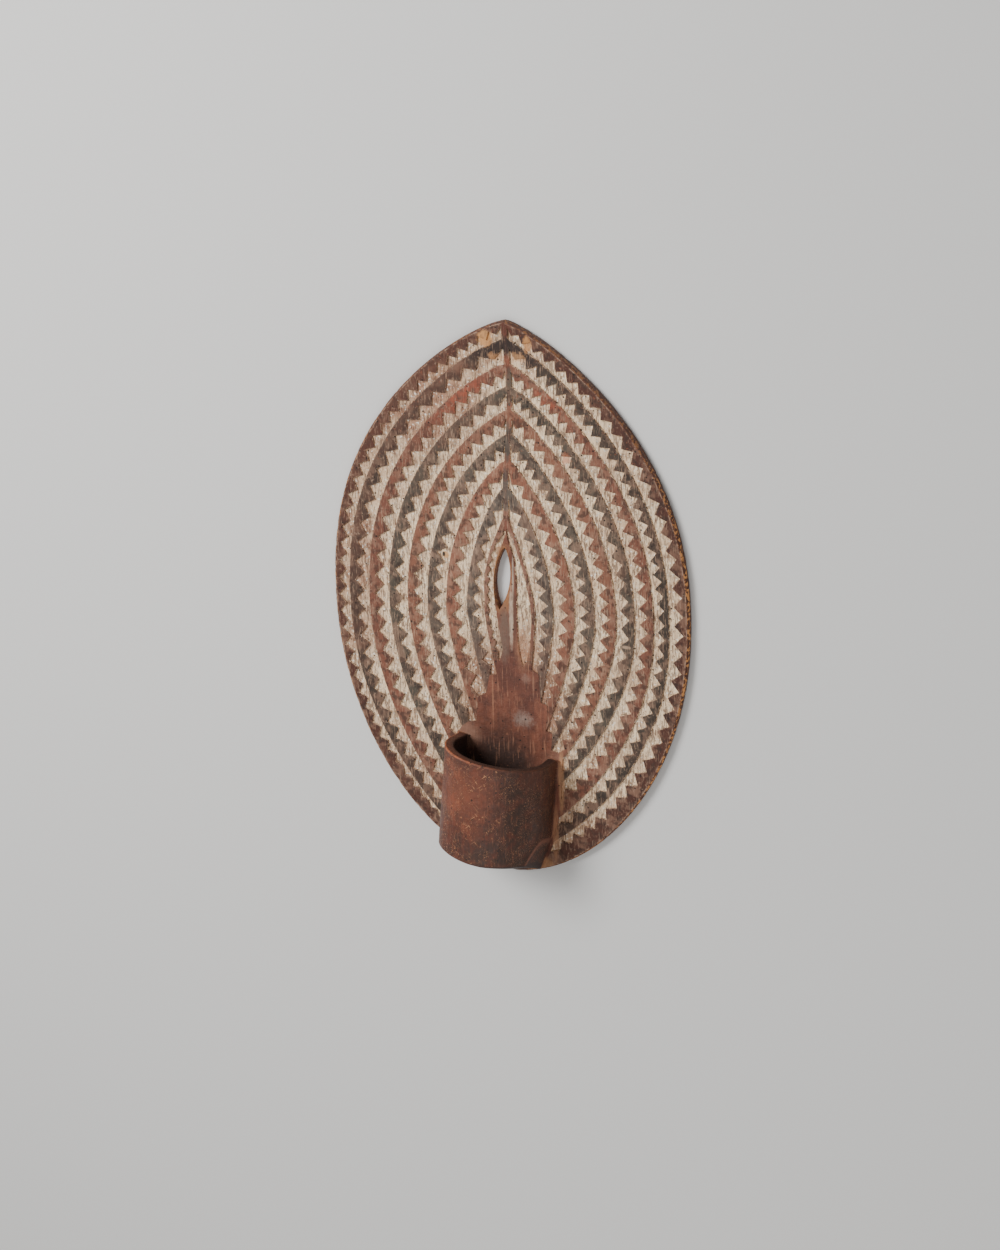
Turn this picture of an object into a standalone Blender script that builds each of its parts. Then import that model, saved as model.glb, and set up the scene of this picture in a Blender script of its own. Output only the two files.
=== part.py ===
"""Wooden dance shield with an arm ring, one carved piece, lying ring side up.

Metres. X runs across, Y along the grain from the rounded foot to the pointed top, Z up from the
resting face. Heights along the shield are measured from its foot.
"""
import bpy
import bmesh
import math
from mathutils import Matrix, Vector

# Plate
plate_length = 0.600
plate_half_width = 0.198
plate_thickness = 0.010
widest_height = 0.294
top_power = 2.3
top_fullness = 0.78
foot_power = 2.0
foot_fullness = 0.56
rim_points = 64
arris = 0.0022

# Carved lines, from the outermost inwards: height on the axis as a share of the plate's length,
# half-width left and right as shares of the plate's, and the share of the length at which each
# line would meet the axis again below
line_tops = (0.9708, 0.9292, 0.8900, 0.8500, 0.8083, 0.7617, 0.7150, 0.6633)
line_left = (0.9111, 0.7975, 0.6803, 0.5727, 0.4581, 0.3500, 0.2308, 0.1313)
line_right = (0.8939, 0.8096, 0.7061, 0.6051, 0.4869, 0.3763, 0.2566, 0.1556)
feet_left = (-0.008, 0.007, 0.040, 0.072, 0.108, 0.142, 0.210, 0.278)
feet_right = (0.022, 0.052, 0.103, 0.122, 0.132, 0.137, 0.103, 0.017)
line_widest_height = widest_height - 0.005
line_spacing = plate_half_width / (len(line_tops) + 1)
line_top_power = 2.38
line_foot_power = 2.20
line_top_fullness = 0.84
line_foot_fullness = 0.77
line_top_power_loss = 0.057
line_foot_power_loss = 0.13
line_foot_fullness_gain = 0.022
line_step = 0.016

# Teeth of the bands, row by row from the rim: run along the row from the spine to the first notch,
# then the pitch at the row's upper end, middle and lower end
first_left = (0.0136, 0.0275, 0.0106, 0.0240, 0.0148, 0.0120, 0.0205, 0.0148)
upper_pitch_left = (0.0121, 0.0220, 0.0173, 0.0186, 0.0154, 0.0165, 0.0129, 0.0213)
middle_pitch_left = (0.0188, 0.0209, 0.0210, 0.0205, 0.0192, 0.0176, 0.0187, 0.0183)
lower_pitch_left = (0.0128, 0.0171, 0.0181, 0.0178, 0.0181, 0.0206, 0.0190, 0.0147)
first_right = (0.0124, 0.0177, 0.0135, 0.0094, 0.0119, 0.0089, 0.0188, 0.0174)
upper_pitch_right = (0.0138, 0.0132, 0.0107, 0.0097, 0.0157, 0.0108, 0.0174, 0.0142)
middle_pitch_right = (0.0202, 0.0154, 0.0173, 0.0196, 0.0168, 0.0155, 0.0170, 0.0165)
lower_pitch_right = (0.0156, 0.0203, 0.0185, 0.0154, 0.0144, 0.0141, 0.0130, 0.0130)

# Notches as shares of the space between two lines, and their depth
tooth_tip = 0.27
tooth_root = 0.73
spine_share = 0.70
mid_space = 0.5
row_end_share = 0.3
spine_sway = 0.006
spine_sway_low = 0.72 * plate_length
recess_depth = 0.0018
spine_half_width = 0.003
back_row_depth = 0.0012

# Arm ring: a bore along Y, its axis held above the face
bore_radius = 0.046
bore_height = 0.026
ring_wall = 0.011
ring_foot_reach = 0.0035
ring_foot_height = 0.005
ring_top = 0.143
ring_top_lean = 0.145
ring_top_skew = 0.14
ring_lean = 0.085
ring_centre = -0.001
ring_undercut = 0.48
ring_edge = 0.0015
ring_arc_points = 28
ring_root_depth = 0.003
facet_across = 0.037
facet_height = 0.015
facet_slope = 0.353
facet_lean = 0.084
outer_radius = bore_radius + ring_wall
ring_height = plate_thickness + bore_height + outer_radius

# Plain ground around the ring: on the left straight beside it, on the right along its curved root,
# and above it stepped from the end of one row to the next, as (height, half-width) in shares of the
# plate's length and half-width
plain_half_width = outer_radius + 0.004
plain_straight_height = ring_top + 0.003
plain_steps_left = (
    (0.2442, 0.3081), (0.2617, 0.2753), (0.2725, 0.2364), (0.2750, 0.1894), (0.3217, 0.1778),
    (0.3317, 0.1293), (0.3650, 0.1091), (0.3692, 0.0677), (0.3967, 0.0000),
)
plain_steps_right = (
    (0.0000, 0.1717), (0.0133, 0.1828), (0.0250, 0.2030), (0.0500, 0.2303), (0.0833, 0.2586),
    (0.1167, 0.2788), (0.1583, 0.2929), (0.2000, 0.2970),
    (0.2283, 0.3020), (0.2392, 0.2773), (0.2425, 0.2389), (0.2742, 0.2470), (0.2767, 0.2091),
    (0.3250, 0.2217), (0.3283, 0.1818), (0.3800, 0.1722), (0.3867, 0.1323), (0.4133, 0.0000),
)

# The innermost line moved towards the axis, as (height, distance) in the same shares
last_line_left = (
    (0.5000, 0.0000), (0.5367, -0.0091), (0.5700, -0.0081), (0.6033, -0.0020), (0.6233, 0.0000),
)
last_line_right = (
    (0.4800, 0.0000), (0.5033, 0.0040), (0.5200, 0.0106), (0.5367, 0.0116), (0.5533, 0.0141),
    (0.5700, 0.0157), (0.5867, 0.0152), (0.6033, 0.0177), (0.6200, 0.0172), (0.6367, 0.0253),
    (0.6533, 0.0121), (0.6633, 0.0000),
)

# Eye slit, leaning with its lower end to the left, and the bare fields beside it, as (height,
# inner half-width, outer half-width) in the same shares
slit_centre = 0.5467 * plate_length
slit_length = 0.068
slit_half_width = 0.0085
slit_middle = -0.0056
slit_lean = 0.103
slit_points = 12
field_left = (
    (0.3933, 0.0505, 0.0505), (0.4167, 0.0278, 0.0657), (0.4333, 0.0379, 0.0808),
    (0.4500, 0.0480, 0.0934), (0.4667, 0.0556, 0.1035), (0.4833, 0.0606, 0.1076),
    (0.5033, 0.0646, 0.1086), (0.5200, 0.0747, 0.1071), (0.5367, 0.0798, 0.1045),
    (0.5533, 0.0753, 0.1035), (0.5700, 0.0646, 0.0919), (0.5867, 0.0485, 0.0808),
    (0.6033, 0.0323, 0.0657), (0.6200, 0.0152, 0.0404), (0.6350, 0.0020, 0.0030),
)
field_right = (
    (0.3900, 0.0859, 0.0859), (0.4000, 0.0732, 0.1035), (0.4167, 0.0631, 0.1172),
    (0.4333, 0.0581, 0.1242), (0.4500, 0.0556, 0.1293), (0.4750, 0.0530, 0.1323),
    (0.5033, 0.0535, 0.1253), (0.5200, 0.0535, 0.1131), (0.5367, 0.0535, 0.1040),
    (0.5533, 0.0525, 0.0939), (0.5700, 0.0480, 0.0808), (0.5867, 0.0414, 0.0657),
    (0.6033, 0.0263, 0.0495), (0.6200, 0.0071, 0.0293), (0.6333, 0.0020, 0.0030),
)

past = 0.02
flat_angle = 0.002
fine_steps = 400


def height(from_foot):
    """Y of a height measured from the foot of the plate."""
    return from_foot - plate_length / 2


def rim_half_width(h):
    """Half-width of the plate at a height: two power arcs that meet on the widest line."""
    if h >= widest_height:
        share = (h - widest_height) / (plate_length - widest_height)
        return plate_half_width * max(0.0, 1 - share ** top_power) ** top_fullness
    share = (widest_height - h) / widest_height
    return plate_half_width * max(0.0, 1 - share ** foot_power) ** foot_fullness


def between(values, rim_value, level):
    """Driving share at a level between the rim (0) and the last line."""
    series = (rim_value,) + values
    low = min(int(level), len(values) - 1)
    return series[low] + (series[low + 1] - series[low]) * (level - low)


def read_off(rows, column, share):
    """Value of a table's column at a share of the length, straight between its rows."""
    for first, second in zip(rows, rows[1:]):
        if first[0] <= share < second[0]:
            part = (share - first[0]) / (second[0] - first[0])
            return first[column] + (second[column] - first[column]) * part
    return 0.0


def line_half_width(level, h, side):
    """Half-width of a carved line at a height, side -1 left and 1 right."""
    half = family_half_width(level, h, side)
    if level == len(line_tops):
        table = last_line_left if side < 0 else last_line_right
        half = max(0.0, half - plate_half_width * read_off(table, 1, h / plate_length))
    return half


def family_half_width(level, h, side):
    """Half-width of a carved line before the innermost one is moved."""
    widths = line_left if side < 0 else line_right
    feet = feet_left if side < 0 else feet_right
    half_width = plate_half_width * between(widths, 1.0, level)
    top = plate_length * between(line_tops, 1.0, level)
    foot = plate_length * between(feet, 0.0, level)
    if h >= line_widest_height:
        share = min(1.0, (h - line_widest_height) / (top - line_widest_height))
        power = line_top_power - line_top_power_loss * level
        return half_width * (1 - share ** power) ** line_top_fullness
    share = min(1.0, (line_widest_height - h) / (line_widest_height - foot))
    power = line_foot_power - line_foot_power_loss * level
    fullness = line_foot_fullness + line_foot_fullness_gain * level
    return half_width * (1 - share ** power) ** fullness


def plain_half(h, side):
    """Half-width of the plain ground from its table, and straight below the table's first height."""
    steps = plain_steps_left if side < 0 else plain_steps_right
    if h < plate_length * steps[0][0]:
        return plain_half_width + side * ring_lean * (h - plain_straight_height)
    return plate_half_width * read_off(steps, 1, h / plate_length)


def swayed(point):
    """Rows near the spine moved over with it, where the spine bends to the right."""
    share = (point.y + plate_length / 2 - spine_sway_low) / (plate_length - spine_sway_low)
    rim = rim_half_width(point.y + plate_length / 2)
    if share <= 0 or rim <= abs(point.x):
        return point
    nearness = (1 - abs(point.x) / rim) ** 2
    return Vector((point.x + spine_sway * math.sin(math.pi * share) * nearness, point.y))


def fine_line(level, side):
    """Close points of a carved line from the spine to the plain ground, with the run to each."""
    top = plate_length * between(line_tops, 1.0, level)
    points = []
    for index in range(fine_steps + 1):
        h = top * math.cos(math.pi / 2 * index / fine_steps)
        half_width = line_half_width(level, h, side)
        if h < line_widest_height and half_width < plain_half(h, side):
            break
        if half_width >= spine_half_width:
            points.append(Vector((side * half_width, height(h))))
    points[0].x = side * spine_half_width
    points = [swayed(point) for point in points]
    runs = [0.0]
    for first, second in zip(points, points[1:]):
        runs.append(runs[-1] + (second - first).length)
    return points, runs


def at_run(points, runs, wanted):
    """Point and outward direction at a run along a fine line."""
    place = 0
    while place < len(points) - 2 and runs[place + 1] < wanted:
        place += 1
    share = (wanted - runs[place]) / (runs[place + 1] - runs[place])
    step = (points[place + 1] - points[place]).normalized()
    side = 1 if points[-1].x > 0 else -1
    return points[place].lerp(points[place + 1], share), Vector((-step.y, step.x)) * side


def line_points(level, side):
    """Evenly spaced points of a carved line."""
    points, runs = fine_line(level, side)
    steps = max(2, round(runs[-1] / line_step))
    return [at_run(points, runs, runs[-1] * index / steps)[0] for index in range(steps + 1)]


def notch_runs(level, side, length):
    """Runs along a row of its notches and of the tooth tips between them."""
    row = level - 1
    first = (first_left if side < 0 else first_right)[row]
    upper = (upper_pitch_left if side < 0 else upper_pitch_right)[row]
    middle = (middle_pitch_left if side < 0 else middle_pitch_right)[row]
    lower = (lower_pitch_left if side < 0 else lower_pitch_right)[row]
    runs = [(first / 2, tooth_tip)]
    here = first
    last = length - lower * row_end_share
    while here < last:
        share = here / length
        pitch = upper * (1 - share) * (1 - 2 * share) + middle * 4 * share * (1 - share)
        pitch += lower * share * (2 * share - 1)
        runs.append((here, tooth_root))
        runs.append((here + pitch / 2, tooth_tip))
        here += pitch
    return [item for item in runs if item[0] < last]


def toothed_points(level, side):
    """Zigzag between two lines: tips near the inner one, notches near the outer one."""
    points, runs = fine_line(level - mid_space, side)
    zigzag = [Vector((points[0].x, points[0].y + line_spacing * (spine_share - mid_space)))]
    for run, share in notch_runs(level, side, runs[-1]):
        point, outward = at_run(points, runs, run)
        h = point.y + plate_length / 2
        space = line_half_width(level - 1, h, side) - line_half_width(level, h, side)
        space = min(space * abs(outward.x), line_spacing)
        zigzag.append(point + outward * space * (share - mid_space))
    zigzag.append(points[-1])
    return zigzag


def slit_outline():
    """Pointed oval that leans over along the shield."""
    points = []
    for index in range(2 * slit_points):
        turn = math.pi * index / slit_points
        along = -slit_length / 2 * math.cos(turn)
        across = slit_half_width * math.sin(turn) * abs(math.sin(turn))
        points.append(Vector((slit_middle + slit_lean * along + across, height(slit_centre) + along)))
    return points


def clear_scene():
    for item in list(bpy.data.objects):
        bpy.data.objects.remove(item, do_unlink=True)


def new_collection(name):
    collection = bpy.data.collections.new(name)
    bpy.context.scene.collection.children.link(collection)
    return collection


def prism(name, points, low, high, collection):
    """Closed prism from a flat outline, as a mesh between two heights."""
    curve = bpy.data.curves.new(name + "_outline", "CURVE")
    curve.dimensions = "2D"
    curve.fill_mode = "BOTH"
    curve.extrude = (high - low) / 2
    spline = curve.splines.new("POLY")
    spline.points.add(len(points) - 1)
    for place, point in zip(spline.points, points):
        place.co = (point.x, point.y, 0, 1)
    spline.use_cyclic_u = True
    shape = bpy.data.objects.new(name + "_curve", curve)
    shape.location = (0, 0, (low + high) / 2)
    collection.objects.link(shape)
    depsgraph = bpy.context.evaluated_depsgraph_get()
    mesh = bpy.data.meshes.new_from_object(shape.evaluated_get(depsgraph))
    work = bmesh.new()
    work.from_mesh(mesh)
    bmesh.ops.remove_doubles(work, verts=work.verts, dist=0.00001)
    bmesh.ops.transform(work, matrix=shape.matrix_world, verts=work.verts)
    bmesh.ops.recalc_face_normals(work, faces=work.faces)
    bmesh.ops.dissolve_limit(work, angle_limit=flat_angle, verts=work.verts, edges=work.edges)
    work.to_mesh(mesh)
    work.free()
    bpy.data.objects.remove(shape, do_unlink=True)
    body = bpy.data.objects.new(name, mesh)
    collection.objects.link(body)
    return body


def as_cutter(body):
    body.hide_render = True
    body.display_type = "WIRE"
    return body


def combine(body, other, operation):
    change = body.modifiers.new(other.name, "BOOLEAN")
    change.operation = operation
    change.solver = "EXACT"
    change.object = other


def gathered(name, bodies):
    """Separate prisms that don't touch, as one cutter."""
    work = bmesh.new()
    for body in bodies:
        work.from_mesh(body.data)
        bpy.data.objects.remove(body, do_unlink=True)
    mesh = bpy.data.meshes.new(name)
    work.to_mesh(mesh)
    work.free()
    cutter = bpy.data.objects.new(name, mesh)
    cutters.objects.link(cutter)
    return as_cutter(cutter)


def bevel(body, width, degrees, segments):
    change = body.modifiers.new("worn_edge", "BEVEL")
    change.width = width
    change.segments = segments
    change.limit_method = "ANGLE"
    change.angle_limit = math.radians(degrees)


def settle(body):
    """Apply every modifier of a body to its mesh."""
    bpy.context.view_layer.update()
    depsgraph = bpy.context.evaluated_depsgraph_get()
    mesh = bpy.data.meshes.new_from_object(body.evaluated_get(depsgraph))
    body.modifiers.clear()
    body.data = mesh
    return body


def rim_outline():
    """Outline of the plate, closer together where it turns."""
    right = []
    for index in range(rim_points + 1):
        h = plate_length * (1 + math.cos(math.pi * index / rim_points)) / 2
        right.append(Vector((rim_half_width(h), height(h))))
    left = [Vector((-point.x, point.y)) for point in right[-2:0:-1]]
    return right + left


def make_plate():
    plate = prism("dance_shield", rim_outline(), 0, plate_thickness, parts)
    bevel(plate, arris, 60, 1)
    return settle(plate)


def row_prism(level, side, low, high):
    """Ground of one row: the toothed edge outside, the next band's smooth edge inside."""
    outline = line_points(level, side) + toothed_points(level, side)[::-1]
    return prism("row", outline, low, high, cutters)


def field_prism(side, floor, top):
    """Bare ground between the last band and the border of the slit."""
    rows = field_left if side < 0 else field_right
    inner = [Vector((side * plate_half_width * row[1], height(plate_length * row[0]))) for row in rows]
    outer = [Vector((side * plate_half_width * row[2], height(plate_length * row[0]))) for row in rows]
    if rows[0][1] == rows[0][2]:
        inner = inner[1:]
    return prism("field", outer + inner[::-1], floor, top, cutters)


def cut_grounds(plate):
    """Sunk ground of every band on the ring side, and one row around the resting face."""
    floor = plate_thickness - recess_depth
    top = plate_thickness + past
    grounds = []
    for level in range(1, len(line_tops) + 1):
        for side in (-1, 1):
            grounds.append(row_prism(level, side, floor, top))
    for side in (-1, 1):
        grounds.append(field_prism(side, floor, top))
    combine(plate, gathered("grounds", grounds), "DIFFERENCE")
    back_row = [row_prism(1, side, -past, back_row_depth) for side in (-1, 1)]
    combine(plate, gathered("back_row", back_row), "DIFFERENCE")
    slit = prism("slit_cutter", slit_outline(), -past, plate_thickness + past, cutters)
    combine(plate, as_cutter(slit), "DIFFERENCE")
    return settle(plate)


def ring_outline():
    """Section of the arm ring, standing on two legs sunk a little into the plate."""
    axis = plate_thickness + bore_height
    root = plate_thickness - ring_root_depth
    inner_half = math.sqrt(bore_radius ** 2 - bore_height ** 2)
    points = [Vector((outer_radius + ring_foot_reach, root)),
              Vector((outer_radius + ring_foot_reach, plate_thickness)),
              Vector((outer_radius, plate_thickness + ring_foot_height))]
    for index in range(ring_arc_points + 1):
        turn = math.pi * index / ring_arc_points
        points.append(Vector((outer_radius * math.cos(turn), axis + outer_radius * math.sin(turn))))
    points.append(Vector((-outer_radius, plate_thickness + ring_foot_height)))
    points.append(Vector((-outer_radius - ring_foot_reach, plate_thickness)))
    points.append(Vector((-outer_radius - ring_foot_reach, root)))
    points.append(Vector((-inner_half, root)))
    spread = math.pi / 2 + math.asin(bore_height / bore_radius)
    for index in range(ring_arc_points + 1):
        turn = math.pi / 2 + spread - 2 * spread * index / ring_arc_points
        points.append(Vector((bore_radius * math.cos(turn), axis + bore_radius * math.sin(turn))))
    points.append(Vector((inner_half, root)))
    return points


def with_facet(ring):
    """Ring with one flat adze cut down its right flank at the lower end."""
    work = bmesh.new()
    work.from_mesh(ring.data)
    plane_point = (facet_across, height(facet_height), plate_thickness)
    plane_normal = Vector((1, -facet_slope, facet_lean)).normalized()
    everything = work.verts[:] + work.edges[:] + work.faces[:]
    cut = bmesh.ops.bisect_plane(work, geom=everything, plane_co=plane_point, plane_no=plane_normal,
                                 clear_outer=True)
    rim = [item for item in cut["geom_cut"] if isinstance(item, bmesh.types.BMEdge)]
    bmesh.ops.holes_fill(work, edges=rim)
    work.to_mesh(ring.data)
    work.free()
    return ring


def make_ring():
    """Ring extruded along the shield, leaned over, and trimmed at both ends."""
    ring = prism("arm_ring", ring_outline(), -past, ring_top + 2 * past, cutters)
    stand = Matrix(((1, 0, 0, 0), (0, 0, 1, -plate_length / 2), (0, 1, 0, 0), (0, 0, 0, 1)))
    ring.data.transform(stand)
    for vertex in ring.data.vertices:
        from_foot = vertex.co.y + plate_length / 2
        vertex.co.x += ring_centre + ring_lean * (from_foot - ring_top)
    work = bmesh.new()
    work.from_mesh(ring.data)
    bmesh.ops.recalc_face_normals(work, faces=work.faces)
    plane_point = (0, height(ring_top), plate_thickness)
    plane_normal = Vector((ring_top_skew, 1, -ring_top_lean)).normalized()
    everything = work.verts[:] + work.edges[:] + work.faces[:]
    cut = bmesh.ops.bisect_plane(work, geom=everything, plane_co=plane_point, plane_no=plane_normal,
                                 clear_outer=True)
    rim = [item for item in cut["geom_cut"] if isinstance(item, bmesh.types.BMEdge)]
    bmesh.ops.holes_fill(work, edges=rim)
    work.to_mesh(ring.data)
    work.free()
    block = prism("foot_slope", rim_outline(), -past, ring_height + past, cutters)
    for vertex in block.data.vertices:
        vertex.co.y += ring_undercut * (vertex.co.z - plate_thickness)
    combine(ring, as_cutter(block), "INTERSECT")
    bevel(ring, ring_edge, 50, 2)
    return as_cutter(with_facet(settle(ring)))


def wood(name, colour):
    material = bpy.data.materials.new(name)
    material.use_nodes = True
    shader = material.node_tree.nodes["Principled BSDF"]
    shader.inputs["Base Color"].default_value = colour
    shader.inputs["Roughness"].default_value = 0.7
    return material


clear_scene()
parts = new_collection("wooden_dance_shield")
cutters = new_collection("cutters")
shield = cut_grounds(make_plate())
combine(shield, make_ring(), "UNION")
settle(shield)
shield.data.materials.append(wood("painted_wood", (0.22, 0.10, 0.06, 1)))
shield.data.shade_smooth()
shield.data.set_sharp_from_angle(angle=math.radians(25))
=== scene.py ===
# %% [markdown]
# # A wooden dance shield
# The real object is one leaf-shaped board, carved with nested rows of teeth, painted, pierced by an
# eye slit, and with an arm ring left standing from the same log. The imported CAD part is loaded
# first, because it fixes the size and the place of the piece.

# %% Load the imported part
import math
import bmesh
import bpy
import numpy as np
from mathutils import Matrix, Vector


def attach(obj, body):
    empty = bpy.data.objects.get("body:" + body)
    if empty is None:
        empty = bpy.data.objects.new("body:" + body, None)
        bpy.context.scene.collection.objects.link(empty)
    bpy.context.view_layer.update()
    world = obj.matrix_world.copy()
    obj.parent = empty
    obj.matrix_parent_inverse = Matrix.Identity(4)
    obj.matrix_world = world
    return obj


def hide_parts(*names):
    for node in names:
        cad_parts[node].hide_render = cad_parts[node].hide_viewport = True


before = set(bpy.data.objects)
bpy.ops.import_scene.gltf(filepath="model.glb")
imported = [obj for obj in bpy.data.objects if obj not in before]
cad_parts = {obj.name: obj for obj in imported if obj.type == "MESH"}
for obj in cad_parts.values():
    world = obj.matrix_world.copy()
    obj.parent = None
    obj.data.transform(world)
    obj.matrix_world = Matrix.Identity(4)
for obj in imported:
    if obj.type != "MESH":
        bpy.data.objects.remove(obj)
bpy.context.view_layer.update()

# %% [markdown]
# ## Camera
# The photograph was taken with a long lens from in front of the carved face, a little to the right
# and above. The three turns, the focal length and the shift were fitted to the outline, the slit
# and the ring in the photograph, so they are written here as plain numbers. The camera's axes are
# built as vectors, which is easier to check than a chain of Euler angles.

# %% Place the camera
picture_width, picture_height = 1000, 1250
camera_turn, camera_raise, camera_roll = np.radians([23.92, 20.5, 0.9])
focal_pixels, middle_across, middle_down = 2917.8, 511.1, 601.9
camera_distance = 3.0
away = Vector((math.cos(camera_raise) * math.sin(camera_turn), math.sin(camera_raise),
               math.cos(camera_raise) * math.cos(camera_turn)))
level_right = Vector((math.cos(camera_turn), 0, -math.sin(camera_turn)))
level_up = away.cross(level_right)
right = math.cos(camera_roll) * level_right - math.sin(camera_roll) * level_up
up = math.sin(camera_roll) * level_right + math.cos(camera_roll) * level_up
lens = bpy.data.cameras.new("photo_camera")
lens.sensor_fit = "AUTO"
lens.sensor_width = 36
lens.lens = focal_pixels / picture_height * lens.sensor_width
lens.shift_x = -(middle_across - picture_width / 2) / picture_height
lens.shift_y = (middle_down - picture_height / 2) / picture_height
camera = bpy.data.objects.new("photo_camera", lens)
camera.matrix_world = (Matrix.Translation(away * camera_distance)
                       @ Matrix((right, up, away)).transposed().to_4x4())
bpy.context.scene.collection.objects.link(camera)
bpy.context.scene.camera = camera
print("camera", [round(value, 3) for value in camera.location], "lens", round(lens.lens, 2))

# %% [markdown]
# ## Sizes
# These are the sizes of the carving, in metres and in shares of the board, the same as in the CAD
# part. Every carved line is a curve of one family, so one short table of half-widths and heights
# draws the whole nest, and the rows stay parallel however finely they are meshed.

# %% Sizes of the board
plate_length = 0.600
plate_half_width = 0.198
plate_thickness = 0.010
widest_height = 0.294
top_power, top_fullness = 2.3, 0.78
foot_power, foot_fullness = 2.0, 0.56
arris = 0.0022
print("board", plate_length, "by", 2 * plate_half_width)

# %% Sizes of the carved lines
line_tops = (0.9708, 0.9292, 0.8900, 0.8500, 0.8083, 0.7617, 0.7150, 0.6633)
line_sides = {-1: (0.9111, 0.7975, 0.6803, 0.5727, 0.4581, 0.3500, 0.2308, 0.1313),
              1: (0.8939, 0.8096, 0.7061, 0.6051, 0.4869, 0.3763, 0.2566, 0.1556)}
line_feet = {-1: (-0.008, 0.007, 0.040, 0.072, 0.108, 0.142, 0.210, 0.278),
             1: (0.022, 0.052, 0.103, 0.122, 0.132, 0.137, 0.103, 0.017)}
line_widest_height = widest_height - 0.005
row_count = len(line_tops)
line_spacing = plate_half_width / (row_count + 1)
line_top_power, line_top_power_loss, line_top_fullness = 2.38, 0.057, 0.84
line_foot_power, line_foot_power_loss = 2.20, 0.13
line_foot_fullness, line_foot_fullness_gain = 0.77, 0.022
spine_half_width = 0.003
spine_sway = 0.006
spine_sway_low = 0.72 * plate_length
last_line_heights = (0.300, 0.312, 0.322, 0.332, 0.342, 0.352, 0.362, 0.372, 0.382, 0.388, 0.396)
last_line_inward = {-1: (0, -0.0011, -0.0019, -0.0024, -0.0018, -0.0019, -0.0016, -0.0003, 0, 0, 0),
                    1: (0.0003, 0.0009, 0.0022, 0.0027, 0.0030, 0.0040, 0.0038, 0.0032, 0.0036, 0.0030, 0)}
print(row_count, "rows, about", round(1000 * line_spacing, 1), "mm apart")

# %% Sizes of the teeth, row by row from the rim
first_notch = {-1: (0.0136, 0.0275, 0.0106, 0.0240, 0.0148, 0.0120, 0.0205, 0.0148),
               1: (0.0124, 0.0177, 0.0135, 0.0094, 0.0119, 0.0089, 0.0188, 0.0174)}
upper_pitch = {-1: (0.0121, 0.0220, 0.0173, 0.0186, 0.0154, 0.0165, 0.0129, 0.0213),
               1: (0.0138, 0.0132, 0.0107, 0.0097, 0.0157, 0.0108, 0.0174, 0.0142)}
middle_pitch = {-1: (0.0188, 0.0209, 0.0210, 0.0205, 0.0192, 0.0176, 0.0187, 0.0183),
                1: (0.0202, 0.0154, 0.0173, 0.0196, 0.0168, 0.0155, 0.0170, 0.0165)}
lower_pitch = {-1: (0.0128, 0.0171, 0.0181, 0.0178, 0.0181, 0.0206, 0.0190, 0.0147),
               1: (0.0156, 0.0203, 0.0185, 0.0154, 0.0144, 0.0141, 0.0130, 0.0130)}
tooth_tip, tooth_root, spine_share = 0.27, 0.73, 0.70
row_end_share = 0.3
recess_depth = 0.0018
back_row_depth = 0.0012
print("deepest ground", 1000 * recess_depth, "mm")

# %% Sizes of the plain ground, the slit and the ring
bore_radius, bore_height, ring_wall = 0.046, 0.026, 0.011
outer_radius = bore_radius + ring_wall
ring_foot_reach, ring_foot_height = 0.0035, 0.005
ring_top, ring_top_lean, ring_top_skew = 0.143, 0.145, 0.14
ring_lean, ring_centre, ring_undercut = 0.085, -0.001, 0.48
ring_root_depth = 0.003
facet_normal, facet_distance = np.array([0.940, -0.332, 0.079]), 0.03075
plain_half_width = outer_radius + 0.004
plain_straight_height = ring_top + 0.003
plain_steps = {-1: ((0.1465, 0.157, 0.1635, 0.165, 0.193, 0.199, 0.219, 0.2215, 0.238),
                    (0.0610, 0.0545, 0.0468, 0.0375, 0.0352, 0.0256, 0.0216, 0.0134, 0)),
               1: ((0, 0.008, 0.015, 0.030, 0.050, 0.070, 0.095, 0.120, 0.137, 0.1435, 0.1455, 0.1645,
                    0.166, 0.195, 0.197, 0.228, 0.232, 0.248),
                   (0.0340, 0.0362, 0.0402, 0.0456, 0.0512, 0.0552, 0.0580, 0.0588, 0.0598, 0.0549, 0.0473,
                    0.0489, 0.0414, 0.0439, 0.0360, 0.0341, 0.0262, 0))}
slit_centre, slit_length, slit_widest = 0.328, 0.069, 0.0085
slit_offset, slit_lean, slit_ease = -0.0056, 0.103, 0.025
slit_low, slit_high = slit_centre - slit_length / 2, slit_centre + slit_length / 2
print("ring stands", round(1000 * (plate_thickness + bore_height + outer_radius), 1), "mm high")

# %% [markdown]
# ## Curves of the carving
# A carver draws the rim first and then follows it inwards by eye. Here that is a family of curves:
# each has a greatest half-width and a top, and one power law for the shape above and below. With
# numpy one call works out a whole curve, so the curves can be as fine as the mesh needs.

# %% Rim and carved lines
def rim_half(h):
    """Half-width of the board: W times (1 - share to a power) to a power, above and below the widest line."""
    rising = np.clip((h - widest_height) / (plate_length - widest_height), 0, 1)
    falling = np.clip((widest_height - h) / widest_height, 0, 1)
    upper = (1 - rising ** top_power) ** top_fullness
    lower = (1 - falling ** foot_power) ** foot_fullness
    return plate_half_width * np.where(h >= widest_height, upper, lower)


def at_level(values, rim_value, level):
    """A line's value, read between the neighbours in the table; level 0 is the rim."""
    return float(np.interp(level, np.arange(row_count + 1), (rim_value,) + values))


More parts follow.
